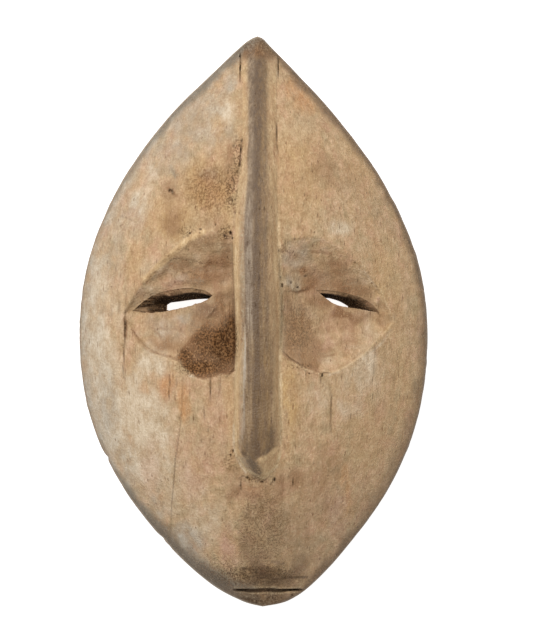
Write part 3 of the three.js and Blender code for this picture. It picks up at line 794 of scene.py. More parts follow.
# %% [markdown]
# ## Close the skin
# At the chin and at the pointed top the loops shrink to a fold. Points that fall on the same spot are
# merged and triangles that have shrunk to nothing are dropped, so the skin has no seam. Each four-sided
# patch is split along its shorter diagonal, which keeps thin ridges straight.

# %% Weld and split
short = np.linalg.norm(points[quads[:, 0]] - points[quads[:, 2]], axis=1)
short = short <= np.linalg.norm(points[quads[:, 1]] - points[quads[:, 3]], axis=1)
first = np.where(short[:, None], quads[:, [0, 1, 2]], quads[:, [1, 2, 3]])
second = np.where(short[:, None], quads[:, [0, 2, 3]], quads[:, [1, 3, 0]])
triangles = np.concatenate([first, second, *wall_triangles])
_, chosen, welded = np.unique(np.round(points, 4), axis=0, return_index=True, return_inverse=True)
triangles = welded.ravel()[triangles]
same = (triangles == np.roll(triangles, 1, axis=1)).any(axis=1)
triangles = triangles[~same]
skin = points[chosen]
corners = skin[triangles]
volume = np.einsum("ij,ij->", corners[:, 0], np.cross(corners[:, 1], corners[:, 2])) / 6
edges = np.sort(np.concatenate([triangles[:, [0, 1]], triangles[:, [1, 2]], triangles[:, [2, 0]]]), axis=1)
_, uses = np.unique(edges, axis=0, return_counts=True)
print(len(triangles), "triangles,", round(volume / 1000, 2), "cm3")
print("edges not used twice:", int((uses != 2).sum()))

# %% [markdown]
# ## Where the wood changed colour
# The mask has aged unevenly: bleached where it was rubbed pale, tan where oil soaked in, brown and rough
# in the eye pockets, dark at the chin, and polished grey-brown along the nose. Light and shade are painted
# in as well: painted shade in the slits, the mouth cut, the creases, pits and cracks, the deeper sockets,
# the chin, the side walls and the very edge of the rim, a painted sheen on the nose, and painted
# highlights along edges of the sockets, the mouth and the nose. Those zones aren't grain, so they can't
# come from a pattern. Each is made of soft patches, strokes and strips placed on the surface, and is
# stored on the points as one number per finish, which the material then reads.

# %% Patches of each finish
PATCHES = {  # x, y, half width, half height, strength
    "bleached_and_highlight": [
        (-45.4, -2.5, 8.9, 28, 0.5), (-36.9, -30.5, 12, 18, 0.7), (-28.9, -36.3, 8.8, 13, 0.45),
        (-30.3, -22.4, 7.6, 5.3, 0.5), (-30.2, -13.6, 4.7, 3.5, 0.5), (-18.7, 61.5, 12, 12, 0.2),
        (-7.4, 61.4, 2.4, 4.1, 0.8), (-30.6, 46.3, 4.1, 8.9, 0.4), (-33.4, 35.3, 4.4, 5, 0.7),
        (-40.1, 31.5, 3, 4.7, 0.4), (-46.9, 6.3, 3.6, 15, 0.35), (-45.4, -11.4, 5.3, 12, 0.7),
        (-30.2, -11, 5.9, 5, 0.75), (-42.4, -29.2, 6.5, 13, 0.75), (-33.9, -34.9, 7.1, 12, 0.6),
        (-14.2, -56.9, 6.5, 8.8, 0.55), (-30.5, -48.3, 5.3, 5.9, 0.3), (13.8, 57, 5.9, 6.5, 0.35),
        (25.4, 27.4, 4.7, 4.1, 0.6), (31.3, -14.8, 7.6, 7.6, 0.55), (29, -25.3, 5.3, 4.1, 0.4),
        (19.5, -21.4, 4.1, 5.3, 0.3), (-21.5, -46.5, 6.5, 7.6, 0.35), (-33, -40.5, 8, 5, 0.4),
        (-39.5, -19, 4.5, 6, 0.5), (-30, 15.5, 4, 4, 0.35), (-24.7, -54.7, 4, 4.5, 0.35),
        (-24.7, -28.5, 3, 4.5, 0.35), (-38.5, -31, 5.5, 9, 0.4), (-33, -28, 9, 8, 0.3),
        (-33.5, -18, 6, 3, 0.4), (9.3, -27, 2.4, 9, 0.5),
    ],
    "ochre": [
        (13.7, 44.4, 8.2, 21, 0.5), (-14.5, 40, 9, 9, 0.7), (-25, 30, 7, 7, 0.4), (33.2, 51, 8.9, 15, 0.35),
        (10.7, -22.9, 3.2, 15, 0.8), (38.8, 9.3, 5.9, 18, 0.45), (34.4, -34.9, 8.8, 12, 0.3),
        (43.4, -17.3, 4.1, 18, 0.3), (-21.4, 28.2, 8.8, 5.9, 0.35), (-8.2, 35.5, 2.9, 12, 0.4),
        (-34.8, 17.5, 3.5, 8.8, 0.4), (-6.7, -22.9, 2.3, 12, 0.3),
    ],
    "orange": [
        (15.2, 65, 3.6, 4.4, 0.5), (11.3, 70.5, 3.2, 4.4, 0.45), (-13, 38.5, 7, 6, 0.3),
        (-24.9, -18.6, 2.3, 5.3, 0.5), (-20.2, -23.5, 2.3, 6.5, 0.55), (-27.3, -17.1, 2.3, 2.3, 0.3),
        (-31.4, -19.5, 2.1, 1.8, 0.4), (27, -46, 1.8, 5.9, 0.35), (28.5, -52.7, 1.5, 5.9, 0.3),
        (0.5, -49.9, 4.1, 1.5, 0.25),
    ],
    "brown": [
        (-13.8, 13.3, 7, 5, 0.5), (-10.9, 18.6, 2.9, 2.6, 0.35), (-27.3, -7.2, 4.1, 3.2, 0.3),
        (-20, -7.7, 11, 4.2, 0.4), (20.6, 10.6, 9, 5.5, 0.5), (-24.5, 49.8, 6, 3, 0.22),
        (-22.5, 29, 4, 7, 0.2), (10, -46.5, 5, 4, 0.3), (-6.5, -45, 3, 3, 0.3), (2.5, -82.6, 12, 2.6, 0.7),
        (29.6, 8.3, 6.5, 5, 0.5), (-25, 37.2, 2.3, 4, 0.45), (-6, -50.5, 3.2, 2.2, 0.4),
        (0.5, -51, 9, 3.2, 0.4), (-14.5, 2.2, 4.5, 3.2, 0.5), (-10.5, 2.2, 4, 4, 0.45),
        (10, -50.5, 4.5, 2.4, 0.45), (36.2, 2.8, 2.7, 2.7, 0.3), (27.3, 0.4, 3.5, 2.6, 0.3),
        (-15.6, -2.5, 4.1, 3.5, 0.4), (-14.1, 42, 8.8, 4.7, 0.15), (-14.1, 37, 8.8, 5.3, 0.22),
        (-11, 29, 4, 3, 0.3), (-23.8, 29.2, 4.1, 4.1, 0.4), (-7.1, 45.8, 2.3, 7.3, 0.45),
        (21.1, 45.4, 4.1, 4.1, 0.45), (27, 40.2, 5.9, 4.7, 0.2), (16.7, 41.5, 4.7, 3.5, 0.2),
        (22.5, -43, 6.5, 7, 0.3), (19, -52.4, 6.5, 7.6, 0.3), (13.7, -46.4, 5.9, 4.1, 0.3),
        (2.6, -46.9, 11, 2.6, 0.25), (-13.2, 16.6, 1.8, 1.5, 0.8), (-14.4, 13.9, 1.2, 1.2, 0.6),
        (-23.8, 16, 1.8, 1.5, 0.5), (-20, 16.6, 5.9, 1.8, 0.35), (-8, 19.5, 2.3, 6.4, 0.5),
        (-11.8, 20.1, 2.3, 3.5, 0.25), (25.5, 16.3, 4.1, 2.6, 0.55), (29, 13.4, 2.9, 1.8, 0.35),
        (14.6, 13.1, 2.1, 1.2, 0.7), (28.5, 1.6, 6.5, 1.5, 0.6), (24, 2.8, 2.9, 1.8, 0.35),
        (13.7, 9.2, 4.7, 0.88, 0.5), (21.9, -8.9, 2.3, 1.8, 0.4),
    ],
    "grime_and_shade": [
        (-23.9, 42.8, 1.2, 2.1, 0.5), (-14, 2.4, 4.2, 3, 0.25), (-12.6, 42.9, 4.1, 2.3, 0.25),
    ],
    "bluish": [
        (-18.7, 59.5, 8.9, 12, 0.45), (-9, 55, 4, 4, 0.35), (-6.3, 71, 3, 4.5, 0.5),
        (-10.7, 66, 4.7, 6.5, 0.45), (-26.1, 47.7, 8.3, 8.3, 0.35), (-37, 31.5, 6.5, 8.3, 0.35),
        (-43, 19.7, 5.9, 10, 0.35), (-46.9, 0.4, 3.6, 18, 0.3), (-44.2, -23.3, 4.7, 15, 0.45),
        (-42.4, -29.2, 4.1, 12, 0.25), (-39, -44.1, 5.3, 11, 0.4), (-18.8, -69.3, 7.7, 4.7, 0.45),
        # (-20, 1.3), on the lip under the left slit, is a painted highlight.
        (-29.1, -54.3, 3, 4.7, 0.5), (-19, -64, 5.5, 4.5, 0.6), (-20, 1.3, 2.9, 1.2, 0.35),
        (-18.5, 12.5, 5.9, 1.8, 0.35), (-24, -1.5, 8.5, 4.5, 0.4), (11.5, 11, 3.5, 1.7, 0.35),
        (12.5, 17.5, 4.5, 5, 0.35),
    ],
    "rosy": [
        (-7.1, -66.7, 2.7, 7.1, 0.8), (-11.1, -28.7, 4.7, 12, 0.35), (-17, -43.5, 5.9, 12, 0.35),
        (-30.4, -42.3, 4.1, 8.8, 0.35), (24.1, -57.1, 4.1, 8.8, 0.4), (24.9, 2.8, 2.9, 2.4, 0.5),
        (36.5, 5.7, 0.74, 2.4, 0.8), (-36.4, 30.9, 3.5, 2.4, 0.35), (-24.4, 11.3, 4.1, 1.8, 0.4),
        (21, -6.9, 3.5, 2.9, 0.4), (26.9, -5.4, 4.7, 2.9, 0.25), (-33.7, 51, 3.6, 7.7, 0.35),
    ],
    "dirt_and_shade": [
        (13.8, -61.3, 5.3, 7.1, 0.35), (4.9, -61.2, 7, 8.2, 0.45), (13.8, -66.8, 8.8, 4.1, 0.2),
        (13, -72.5, 4, 4, 0.3), (39.2, 1, 3.5, 1.8, 0.3), (42, 28.6, 4.2, 4.2, 0.2),
        (36, 34.4, 6.5, 5.9, 0.15), (-18.5, 58.5, 6, 6, 0.2), (1, 81, 10, 6, 0.65),
        (15, -72, 4.5, 3.5, 0.4), (5.5, -77.2, 10, 2.2, 0.45),
    ],
    "dark_stain_and_shade": [
        # (8.8, -79.7) lies in the mouth cut: painted shadow under its upper lip.
        (6.3, -75.2, 11, 2.8, 0.52), (-6.9, -74.7, 3.6, 2.1, 0.15), (8.8, -79.7, 8.3, 1.8, 0.4),
        (0.5, -72.2, 2.4, 3, 0.3), (-8.4, -7.5, 4, 7.5, 0.3), (-13, -9, 5, 6.5, 0.22),
        (1, -77.6, 7.5, 1.8, 0.45),
    ],
}
print("patches of", list(PATCHES))

# %% Strokes of each finish
STROKES = {  # strength, half width and the points of a thin smear of the zone's colour
    "brown": [
        (0.55, 0.55, [(-35.6, -2.5), (-33.8, -5.4), (-31.7, -7.5), (-29.9, -8.8), (-27.3, -9.5),
            (-24.3, -10.2), (-22.3, -11)]),
        (0.5, 0.4, [(-28.9, -2.8), (-27.7, -3.7), (-26.9, -5.4), (-26.7, -7.2), (-27.7, -8.9)]),
        (0.35, 1.2, [(-27.4, 13.1), (-25.9, 14.5), (-24.8, 18.3), (-23.2, 18.7), (-20.9, 18.5),
            (-17.9, 18)]),
        (0.5, 0.5, [(-15.6, 17.1), (-13.8, 17.6), (-11.5, 17.4)]),
        (0.4, 0.5, [(-20.6, 14.1), (-18.5, 14.4), (-16.8, 13.9)]),
        # The next stroke, just above the upper lip of the right slit, is painted shade.
        (0.5, 1, [(20, 10), (24, 9.7), (28, 8.8), (31, 7.8), (33.5, 6.7), (36.4, 4.4)]),
        (0.4, 0.5, [(-30.3, -1.9), (-25.9, -2.2), (-21.5, -2.3), (-18.5, -1), (-15.6, 0.4)]),
        (0.5, 0.6, [(17.2, 20.5), (20.2, 20.3), (22.9, 19.9)]),
        (0.6, 0.45, [(18.7, -10.4), (21, -10.2), (23.7, -9.7)]), (0.4, 0.4, [(19.5, -11.8), (21, -11.3)]),
        (0.95, 0.6, [(-37.8, 1), (-37.5, -1.3), (-37.7, -4.3)]),
        (0.85, 0.7, [(-25.3, 39.6), (-24, 38.4), (-22.7, 36.8)]),
    ],
    "bleached_and_highlight": [
        (0.9, 0.35, [(-5.7, -30.2), (-5.6, -36.6), (-5, -39.2), (-3.8, -41.6), (-2.1, -44)]),
        # The strokes from here on are painted highlights: on the upper lip of the mouth, a ridge by the left
        # slit, the right brow edge and the cheek edges of both sockets.
        (0.6, 0.3, [(-2.8, -79), (5.5, -79), (13.9, -79.2)]),
        (0.6, 0.4, [(-10.3, 5.7), (-11.5, 3.7), (-13.8, 1.3)]),
        (0.5, 0.35, [(32.8, 14.5), (36.1, 10.1), (39.1, 5.7), (40.8, -0.2)]),
        (0.5, 0.4, [(-18.4, -15.9), (-14, -16.5), (-10.2, -15.4), (-5.3, -13.5)]),
        (0.5, 0.4, [(40.6, -2.5), (38.2, -6), (34.9, -9), (30.7, -12.2), (26.6, -14.2), (22.4, -15.6)]),
    ],
    "worn": [
        # Light lines round the nose tip and along its feet: partly wear and partly painted highlight.
        (0.8, 0.4, [(-5.1, -30), (-5, -38.7), (-2.2, -43.3), (2.9, -45.8), (6.6, -42.6), (8.2, -38.2),
            (8, -33)]),
        (0.8, 0.65, [(8.2, -33), (8, -20), (8, -7), (8.3, 5), (7.5, 22), (7.3, 30)]),
        (0.6, 0.4, [(-5.2, -30), (-5.1, -20), (-4.5, -7), (-4.8, 5), (-5.3, 22)]),
    ],
    "dark_stain_and_shade": [
        (0.75, 1.5, [(-0.9, -40.2), (0.3, -42), (1.5, -43.9)]), (0.7, 0.6, [(-3.2, -38.2), (-2.3, -39.3)]),
        (0.7, 0.45, [(-3.4, -72.9), (0.5, -73.4), (4.4, -72.7)]),
        (0.55, 0.4, [(-7.5, -74.4), (-4.6, -74.9), (-2, -74.6)]),
        (0.75, 0.55, [(0.9, -75.6), (6, -76.2), (11, -75.7), (15.8, -75.9)]),
        (0.5, 0.4, [(5.5, -70.9), (9, -71.4)]),
        # The stroke along the mouth cut is painted shadow under its upper lip.
        (0.9, 0.55, [(-5.8, -79.8), (0, -79.9), (8, -79.8), (15, -79.8)]),
        (0.45, 1.7, [(2.1, 76.8), (2.1, 70), (1.8, 62)]),
    ],
}
print("strokes of", list(STROKES))

# %% Helpers for the zones
def patches(x, y, name):
    """The zone's ovals, with hills to fray their edges along the grain."""
    frayed_x = x + 0.9 * hills(x, y, 2.2, 7, 51) + 0.4 * hills(x, y, 0.8, 1.8, 53)
    frayed_y = y + 2.2 * hills(x, y, 2.5, 5, 52)
    return np.clip(ovals(frayed_x, frayed_y, PATCHES[name]), 0, 1)


def smears(x, y, name):
    """The strongest of the zone's strokes at each point, each fading out sideways from its line."""
    total = np.zeros(np.shape(x))
    for strength, half, points in STROKES[name]:
        away, _ = near_line(x, y, points)
        total = np.maximum(total, strength * (1 - step(np.abs(away) / half, 0.3, 1.3)))
    return total


def sunk(height, reach):
    """How far each point lies below the mean of the four points reach rows and columns away from it."""
    padded = np.pad(height, reach, mode="edge")
    near = [padded[reach + a : padded.shape[0] - reach + a, reach + b : padded.shape[1] - reach + b]
            for a, b in ((-reach, 0), (reach, 0), (0, -reach), (0, reach))]
    return np.mean(near, axis=0) - height


def lay(name, amount):
    """The zone becomes the higher of what it was and amount."""
    zones[name] = np.maximum(zones[name], amount)


x, y, z = face_px, face_py, face_pz
foot_left, _, _, foot_right = nose_lines(y)
sunken = socket_depth(x, y)
on_nose = nose_height(x, y) > face_height(x, y) - sunken + 0.1
zones = {name: patches(x, y, name) * ~on_nose for name in PATCHES}
print(int(on_nose.sum()), "points are on the nose")

# %% Darker along the rim, with a painted shade line at the very edge
RIM_DARKENING = [  # y, then how far in the darkening reaches and how thick it is, left edge first
    (86, 3.8, 0.95, 3.0, 1.0),
    (60, 3.2, 0.9, 2.8, 1.0),
    (45, 2.0, 0.6, 2.6, 1.0),
    (20, 1.0, 0.3, 2.5, 0.95),
    (0, 0.9, 0.3, 3.2, 0.75),
    (-20, 0.9, 0.3, 4.2, 0.7),
    (-35, 1.2, 0.45, 4.6, 0.65),
    (-50, 2.6, 0.9, 4.6, 0.65),
    (-62, 5.0, 0.9, 3.8, 0.85),
    (-72, 7.5, 0.9, 3.0, 0.9),
    (-80, 8.0, 1.0, 2.6, 0.9),
    (-86, 4.0, 1.0, 2.4, 0.9),
]
rim_y, *rim = curve(RIM_DARKENING)
rim_band, rim_shade_line = [], []
for edge, reach, thick, way in zip(outline(y), rim[::2], rim[1::2], (1, -1)):
    slope = np.gradient(edge[:, 0], y[:, 0])[:, None]
    gap = way * (x - edge) / np.hypot(1, slope)
    reach, thick = (np.interp(-y, -rim_y, line) for line in (reach, thick))
    rim_band.append(thick * (1 - step(gap / reach / (1 + 0.35 * hills(x, y, 3, 5, 55)), 0.25, 1.2)))
    rim_shade_line.append(thick * (1 - step(gap * (1 + 0.4 * hills(x, y, 1.5, 3, 59)), 0.3, 1.1)))
below_mouth = step(-y, 78, 81)
# The thin line right at the edge is painted shade where the edge turns down; the wider band is darker
# towards the edge.
lay("grime_and_shade", rim_band[0] * (1 - 0.6 * below_mouth))
lay("grime_and_shade", 0.9 * rim_shade_line[1] * step(y, -10, 0))
lay("dirt_and_shade", 0.9 * rim_band[0] * below_mouth)
lay("dirt_and_shade", rim_band[1])
left_gap = (x - outline(y)[0]) / (1 + 0.3 * hills(x, y, 2, 5, 60))
lay("bluish", 0.8 * (1 - step(left_gap, 0.5, 6)) * ~on_nose)
low_left = step(-x, 0, 8) * step(-y, 48, 64)
lay("dark_stain_and_shade", 0.6 * rim_band[0] ** 2 * low_left)
lay("dark_stain_and_shade", 0.5 * rim_shade_line[0] + 0.25 * rim_band[0])
less_dark_mid_right = 1 - 0.8 * step(-y, 3, 14) * (1 - step(-y, 58, 70))  # the right edge is less dark in its middle
lay("dark_stain_and_shade", (0.5 * rim_shade_line[1] + 0.35 * rim_band[1]) * less_dark_mid_right)
print("dirt along the left rim reaches", rim_band[0].max())

# %% Shade at the chin and blotches in the sockets
shade_starts = 0.9 + 4.5 * (1 - step(-y, 52, 59))
chin_shade = step(x + 0.3 * hills(x, y, 1, 4, 56) + 4.7, 0, shade_starts)
chin_shade = chin_shade * (1 - step(x, 6, 19)) * step(-y, 46, 58)
# The shade at the chin is painted shade, laid into the dirt zone.
lay("dirt_and_shade", 0.5 * chin_shade * (1 + 0.5 * hills(x, y, 2.2, 3, 58)))
blotches = hills(x, y, 4.2, 1.9, 63) * (sunken > 0.3) * ~on_nose
# The sockets also get browner the deeper they are: painted shade in the hollows.
zones["brown"] = zones["brown"] + 0.3 * np.maximum(blotches, 0) + 0.03 * sunken * ~on_nose
zones["brown"] = np.clip(zones["brown"], 0, 1)
lay("bleached_and_highlight", -0.35 * blotches)
print("blotches from", blotches.min(), "to", blotches.max())

# %% The polished strip along the nose
POLISHED = [  # y, left and right edge of the strip that hands have rubbed dark
    (88, -1.4, 3.6),
    (76, -1.5, 4.4),
    (60, -1.5, 4.2),
    (45, -1.6, 4.5),
    (30, -2.5, 5),
    (14, -2.6, 5),
    (3, -2.3, 5.4),
    (-6, -2.1, 5.7),
    (-20, -2.5, 5.6),
    (-31, -2.8, 6.1),
    (-39, -3.4, 6.8),
    (-50, -3.4, 6.8),
]
WORN_OFF = [  # x and y of the ragged line where the strip ends below
    (-5, -37), (-3.5, -37.9), (-1.8, -39.3), (0.3, -40.8), (1.1, -39.9), (4.9, -38), (6.8, -36.6),
]
strip_y, *strip = curve(POLISHED)
strip_left, strip_right = (np.interp(-y, -strip_y, line) for line in strip)
wavy = 0.3 * hills(x, y, 1.5, 6, 61)
patina = step(x + wavy, strip_left - 0.4, strip_left + 0.3)
patina = patina * (1 - step(x + wavy, strip_right - 1.1, strip_right + 0.7))
ends_at = np.interp(x, *np.transpose(WORN_OFF)) + 0.3 * hills(x, y, 0.9, 0.9, 64)
above_end = step(y - ends_at, -0.4, 0.5)
at_top = step(y, 76, 79)
thinner = 1 - step(x, 1.8, 3.2) * (0.04 + 0.12 * step(y, -14, 0))
thinner = patina * thinner * above_end * (1 - 0.8 * step(y, 77, 79.5))
zones["patina"] = np.where(on_nose, thinner, 0.0)
lay("brown", 0.9 * on_nose * at_top)
print("patina covers", (zones["patina"] > 0.5).mean(), "of the face's points")

# %% The bevels beside the strip
LEFT_BEVEL = [  # the pale cut along the brow of the left socket
    (-31.5, 12.5), (-27.9, 16.4), (-24.4, 19.3), (-21.4, 22.1), (-18.5, 24.4), (-14.6, 26.3),
]
on_left = x < (strip_left + strip_right) / 2
foot = np.where(on_left, foot_left, foot_right)
strip_edge = np.where(on_left, strip_left, strip_right)
inner = step((x - foot) / (strip_edge - foot), 0.2, 0.75) * (1 - patina) * above_end
inner = inner * (1 - 0.6 * step(y, 22, 42))
pale = 0.9 + 0.1 * ~on_left - 0.4 * step(y, 20, 40) - 0.5 * step(y, 70, 80)
pale = np.maximum(pale, 0) * (1 - np.where(on_left, 0.9, 0.6) * inner)
zones["fresh"] = np.where(on_nose, pale * (1 - patina * above_end), 0.0)
lay("dirt_and_shade", 0.45 * inner * on_nose * ~on_left)
lay("grime_and_shade", 0.5 * inner * on_nose * on_left)
# The pale band on the left brow edge is pale wood where the edge is worn, and partly a painted highlight.
brow_away, _ = near_line(x, y, LEFT_BEVEL)
lay("fresh", 0.85 * (1 - step(np.abs(brow_away - 0.1), 0.5, 1.2)) * ~on_nose)
# The sheen zone is a painted sheen: a lighter highlight down the left of the polished strip and on its left
# shoulder.
across_strip = (x - strip_left) / (strip_right - strip_left)
sheen = step(across_strip, -0.1, 0.08) * (1 - step(across_strip, 0.22, 0.42))
sheen = sheen * (0.35 + 0.65 * step(y, -12, 2))
shoulder = (1 - step(np.abs(x - strip_left + 0.1), 0.15, 0.45)) * step(-y, -4, 4) * step(y, -36, -33)
silvery = 0.2 + 0.2 * step(y, -6, 4) * (1 - step(y, 26, 42))
sheen = np.maximum(silvery * sheen * step(y, -40, -36), 0.6 * shoulder)
zones["sheen"] = np.where(on_nose, sheen, 0.0)
left_facet = (1 - step(x, 0.8, 1.8)) * step(-y, 38, 40) * (1 - above_end) * on_nose
lay("grime_and_shade", 0.6 * left_facet)
zones["fresh"] = zones["fresh"] * (1 - 0.75 * left_facet)
dark_line = 1 - step(np.abs(x - 1.1 + 0.5 * hills(x, y, 2, 9, 62)), 0.3, 1.7)
on_ridge = np.maximum(0.5 * dark_line * (y > -43) * (1 - at_top), 0.22 * at_top)
zones["dark_stain_and_shade"] = np.where(on_nose, on_ridge, zones["dark_stain_and_shade"])
print("fresh wood, mean", zones["fresh"].mean())

# %% Pockets, worn and highlighted edges, and painted shade in creases
pockets = zip(SOCKET_CURVES, (LEFT_POCKET, RIGHT_POCKET), (-1, 1), (1.0, 0.62), (0.75, 0.5))
for table, pocket, side, strength, higher in pockets:
    wall = socket_share(x, y, table)[0]
    away, _ = near_line(x + 0.7 * hills(x, y, 1.1, 1.3, 54), y, pocket)
    full = step(-y, -3, 4)
    top, softer = pocket[0][1] + 3, 1.5 * (1 - full)
    inside = (np.abs(wall) < 1) * (y < top) * step(side * away, -0.5 - softer, 0.7 + softer)
    streaks = higher + 0.3 * hills(x, y, 0.9, 6, 57)
    lay("brown", inside * (strength * full + streaks * (1 - full)) * step(top - y, 0, 4))
beside_nose = (1 - step(x - foot_right, 0.3, 2.5)) * (x > foot_right)
zones["brown"] = zones["brown"] * (1 - 0.6 * beside_nose)
# Lighter on convex edges, worked out from the shape: partly wear and partly a painted highlight.
stands_out = np.clip(-1.2 * sunk(z, 2) - 0.1, 0, 0.3)
zones["worn"] = stands_out * np.where(on_nose, 0.2, 1) * np.where(x < 0, 0.5, 1)
for name in STROKES:
    lay(name, smears(x, y, name))
cheek_side = (y < 7) & (sunken > 0.2)
# Darker in concave creases, worked out from the shape: painted shade.
crease_shade = np.clip(1.3 * sunk(z, 2), 0, 1) * np.where(cheek_side, 0.35, 0.1)
zones["crumbled"] = np.clip(ovals(x, y, CRUMBLED), 0, 1)
# Pits, cracks and crumbs are darkened as well: partly dirt and partly painted shade in the holes.
dirt_and_shade_in_cuts = crease_shade + 0.3 * crumbs(x, y) + 0.9 * cracks(x, y) + 1.8 * ovals(x, y, PITS, 0.4, 1.2)
zones["dirt_and_shade_in_cuts"] = np.clip(dirt_and_shade_in_cuts, 0, 1) * (~on_nose | (y < -44))
zones["back"] = np.zeros_like(z)
print("zones", list(zones))

# %% One number a zone on every point of the skin
# down is the painted shade on the walls of the slits
down = np.concatenate(slit_shade)
side_wall_shade = {"grime_and_shade": (0.6, 0.0), "dirt_and_shade": (0.0, 0.95), "dark_stain_and_shade": (0.1, 0.25)}  # painted shade on the left and right side wall
on_back = {"back": 1.0, "brown": 0.2}
# Painted shade inside the slits: brown and the darkest cut zone grow with down.
slit_wall_shade = {"brown": 0.5 + 0.3 * down, "dirt_and_shade_in_cuts": 1.2 * down**1.5}
right_start = first_face + x.shape[1]
for name in zones:
    whole = np.full((rows, loop), side_wall_shade.get(name, (0.0, 0.0))[0])
    whole[:, first_face:right_start] = zones[name]
    whole[:, right_start:] = side_wall_shade.get(name, (0.0, 0.0))[1]
    whole[:, right_start + right_side.shape[1] :] = on_back.get(name, 0.0)
    zones[name] = np.concatenate([whole.ravel(), slit_wall_shade.get(name, 0 * down)])[chosen]
    print(name, "mean", zones[name].mean().round(3))

# %% [markdown]
# ## The piece
# The points go into the mesh as whole arrays. Smooth shading is right for rubbed wood, but the knife's
# corners have to stay crisp, so edges sharper than 50 degrees are marked.

# %% Put it into Blender
SHARP = 50  # degrees
mesh = bpy.data.meshes.new("mask_carving")
mesh.vertices.add(len(skin))
mesh.vertices.foreach_set("co", (skin / 1000).astype(np.float32).ravel())
mesh.loops.add(triangles.size)
mesh.loops.foreach_set("vertex_index", triangles.astype(np.int32).ravel())
mesh.polygons.add(len(triangles))
mesh.polygons.foreach_set("loop_start", np.arange(0, triangles.size, 3, dtype=np.int32))
for name, values in zones.items():
    mesh.attributes.new(name, "FLOAT", "POINT").data.foreach_set("value", values.astype(np.float32))
mesh.update(calc_edges=True)
mesh.validate()
mesh.shade_smooth()
mesh.set_sharp_from_angle(angle=np.radians(SHARP))
mask_carving = bpy.data.objects.new("mask_carving", mesh)
bpy.context.scene.collection.objects.link(mask_carving)
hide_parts("mask")
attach(mask_carving, "root")
print(len(mesh.polygons), "faces on the mask")

# %% [markdown]
# ## The wood
# Bare, light tropical hardwood, carved and never varnished. It is dull, its fibres and open vessels run
# from the pointed top to the chin as fine dark dashes, and where a cut goes across them they show as
# pores. Because the pattern is worked out in space, from Object coordinates, and is stretched along Y,
# both looks come from one material. Real vessels are 0.2 mm wide, which is less than a pixel here, so
# they are drawn 0.35 mm wide.

# %% Colours and the helper for nodes
def linear(code):
    """An sRGB hex colour as linear red, green, blue and alpha."""
    parts = [int(code[k : k + 2], 16) / 255 for k in (1, 3, 5)]
    return [p / 12.92 if p <= 0.04045 else ((p + 0.055) / 1.055) ** 2.4 for p in parts] + [1.0]


def node(tree, kind, inputs=(), **settings):
    """Adds a node: settings are its own properties, inputs gives each named socket a value or a link."""
    made = tree.nodes.new("ShaderNode" + kind)
    for name, value in settings.items():
        setattr(made, name, value)
    for place, value in dict(inputs).items():
        if isinstance(value, bpy.types.NodeSocket):
            tree.links.new(value, made.inputs[place])
        else:
            made.inputs[place].default_value = value
    return made


weathered_hardwood = bpy.data.materials.new("weathered_hardwood")
weathered_hardwood.use_nodes = True
tree = weathered_hardwood.node_tree
tree.nodes.clear()
MM = 1000.0  # a Mapping scale of MM makes one unit of a pattern one millimetre
print("mid grey", linear("#808080"))

# %% Patterns in the wood
GRAIN = {  # cells in a millimetre across, along and into the wood, and the octaves of finer detail
    "streak": ((0.6, 0.03, 0.6), 3.0),
    "rub": ((1.2, 0.06, 1.2), 3.0),
    "blush": ((0.2, 0.13, 0.2), 3.0),
    "fibre": ((2.6, 0.5, 2.6), 3.0),
    "mottle": ((0.25, 0.14, 0.25), 5.0),
    "bloom": ((0.55, 0.4, 0.55), 3.0),
    "grit": ((1.9, 1.5, 1.9), 4.0),
}
place = node(tree, "TexCoord").outputs["Object"]
pattern = {}
for name, (cells, detail) in GRAIN.items():
    mapped = node(tree, "Mapping", {"Vector": place, "Scale": [c * MM for c in cells]}).outputs[0]
    noise = node(tree, "TexNoise", {"Vector": mapped, "Scale": 1.0, "Detail": detail, "Roughness": 0.6})
    spread_out = {"Value": noise.outputs[0], "From Min": 0.32, "From Max": 0.68}
    pattern[name] = node(tree, "MapRange", spread_out).outputs[0]
mapped = node(tree, "Mapping", {"Vector": place, "Scale": [c * MM for c in (0.75, 0.14, 0.75)]}).outputs[0]
vessel = node(tree, "TexVoronoi", {"Vector": mapped, "Scale": 1.0})
dash = {"Value": vessel.outputs["Distance"], "From Min": 0.06, "From Max": 0.2, "To Min": 1.0, "To Max": 0.0}
pattern["vessel"] = node(tree, "MapRange", dash).outputs[0]
print("patterns", list(pattern))

# %% Colour, from the sound wood to its stains
def blend_in(under, over, amount, kind="MIX"):
    """under with the colour over laid on it by amount."""
    inputs = {0: amount, 6: under, 7: over}
    return node(tree, "Mix", inputs, data_type="RGBA", blend_type=kind).outputs[2]


STAINS = [  # zone, its darker and its lighter colour, the pattern between them and how far that frays it
    ("bleached_and_highlight", "#c3b297", "#dccfb8", "mottle", 0.8),
    ("ochre", "#b28f5f", "#c9ac7c", "mottle", 1.0),
    ("orange", "#b4804d", "#cc9b67", "streak", 0.8),
    ("rosy", "#b78f78", "#cdab93", "mottle", 1.0),
    ("bluish", "#a09a8e", "#bdb7aa", "mottle", 0.8),
    ("brown", "#6f4b2a", "#98714a", "grit", 0.8),
    ("dirt_and_shade", "#6c583c", "#93795a", "grit", 1.0),
    ("grime_and_shade", "#66615a", "#8e8979", "grit", 1.0),
    ("fresh", "#c5a478", "#ddc499", "streak", 0.4),
    ("patina", "#5b452b", "#91764e", "rub", 0.15),
    ("sheen", "#8f897f", "#b8b1a5", "rub", 1.0),
    ("dark_stain_and_shade", "#382717", "#5c452d", "grit", 1.0),
    ("worn", "#d0b98f", "#dcc8a4", "fibre", 0.8),
    ("back", "#a88055", "#b89467", "mottle", 0.8),
    ("dirt_and_shade_in_cuts", "#1f130a", "#382414", "grit", 0.8),
]
colour = blend_in(linear("#b7966e"), linear("#c8ad86"), pattern["streak"])
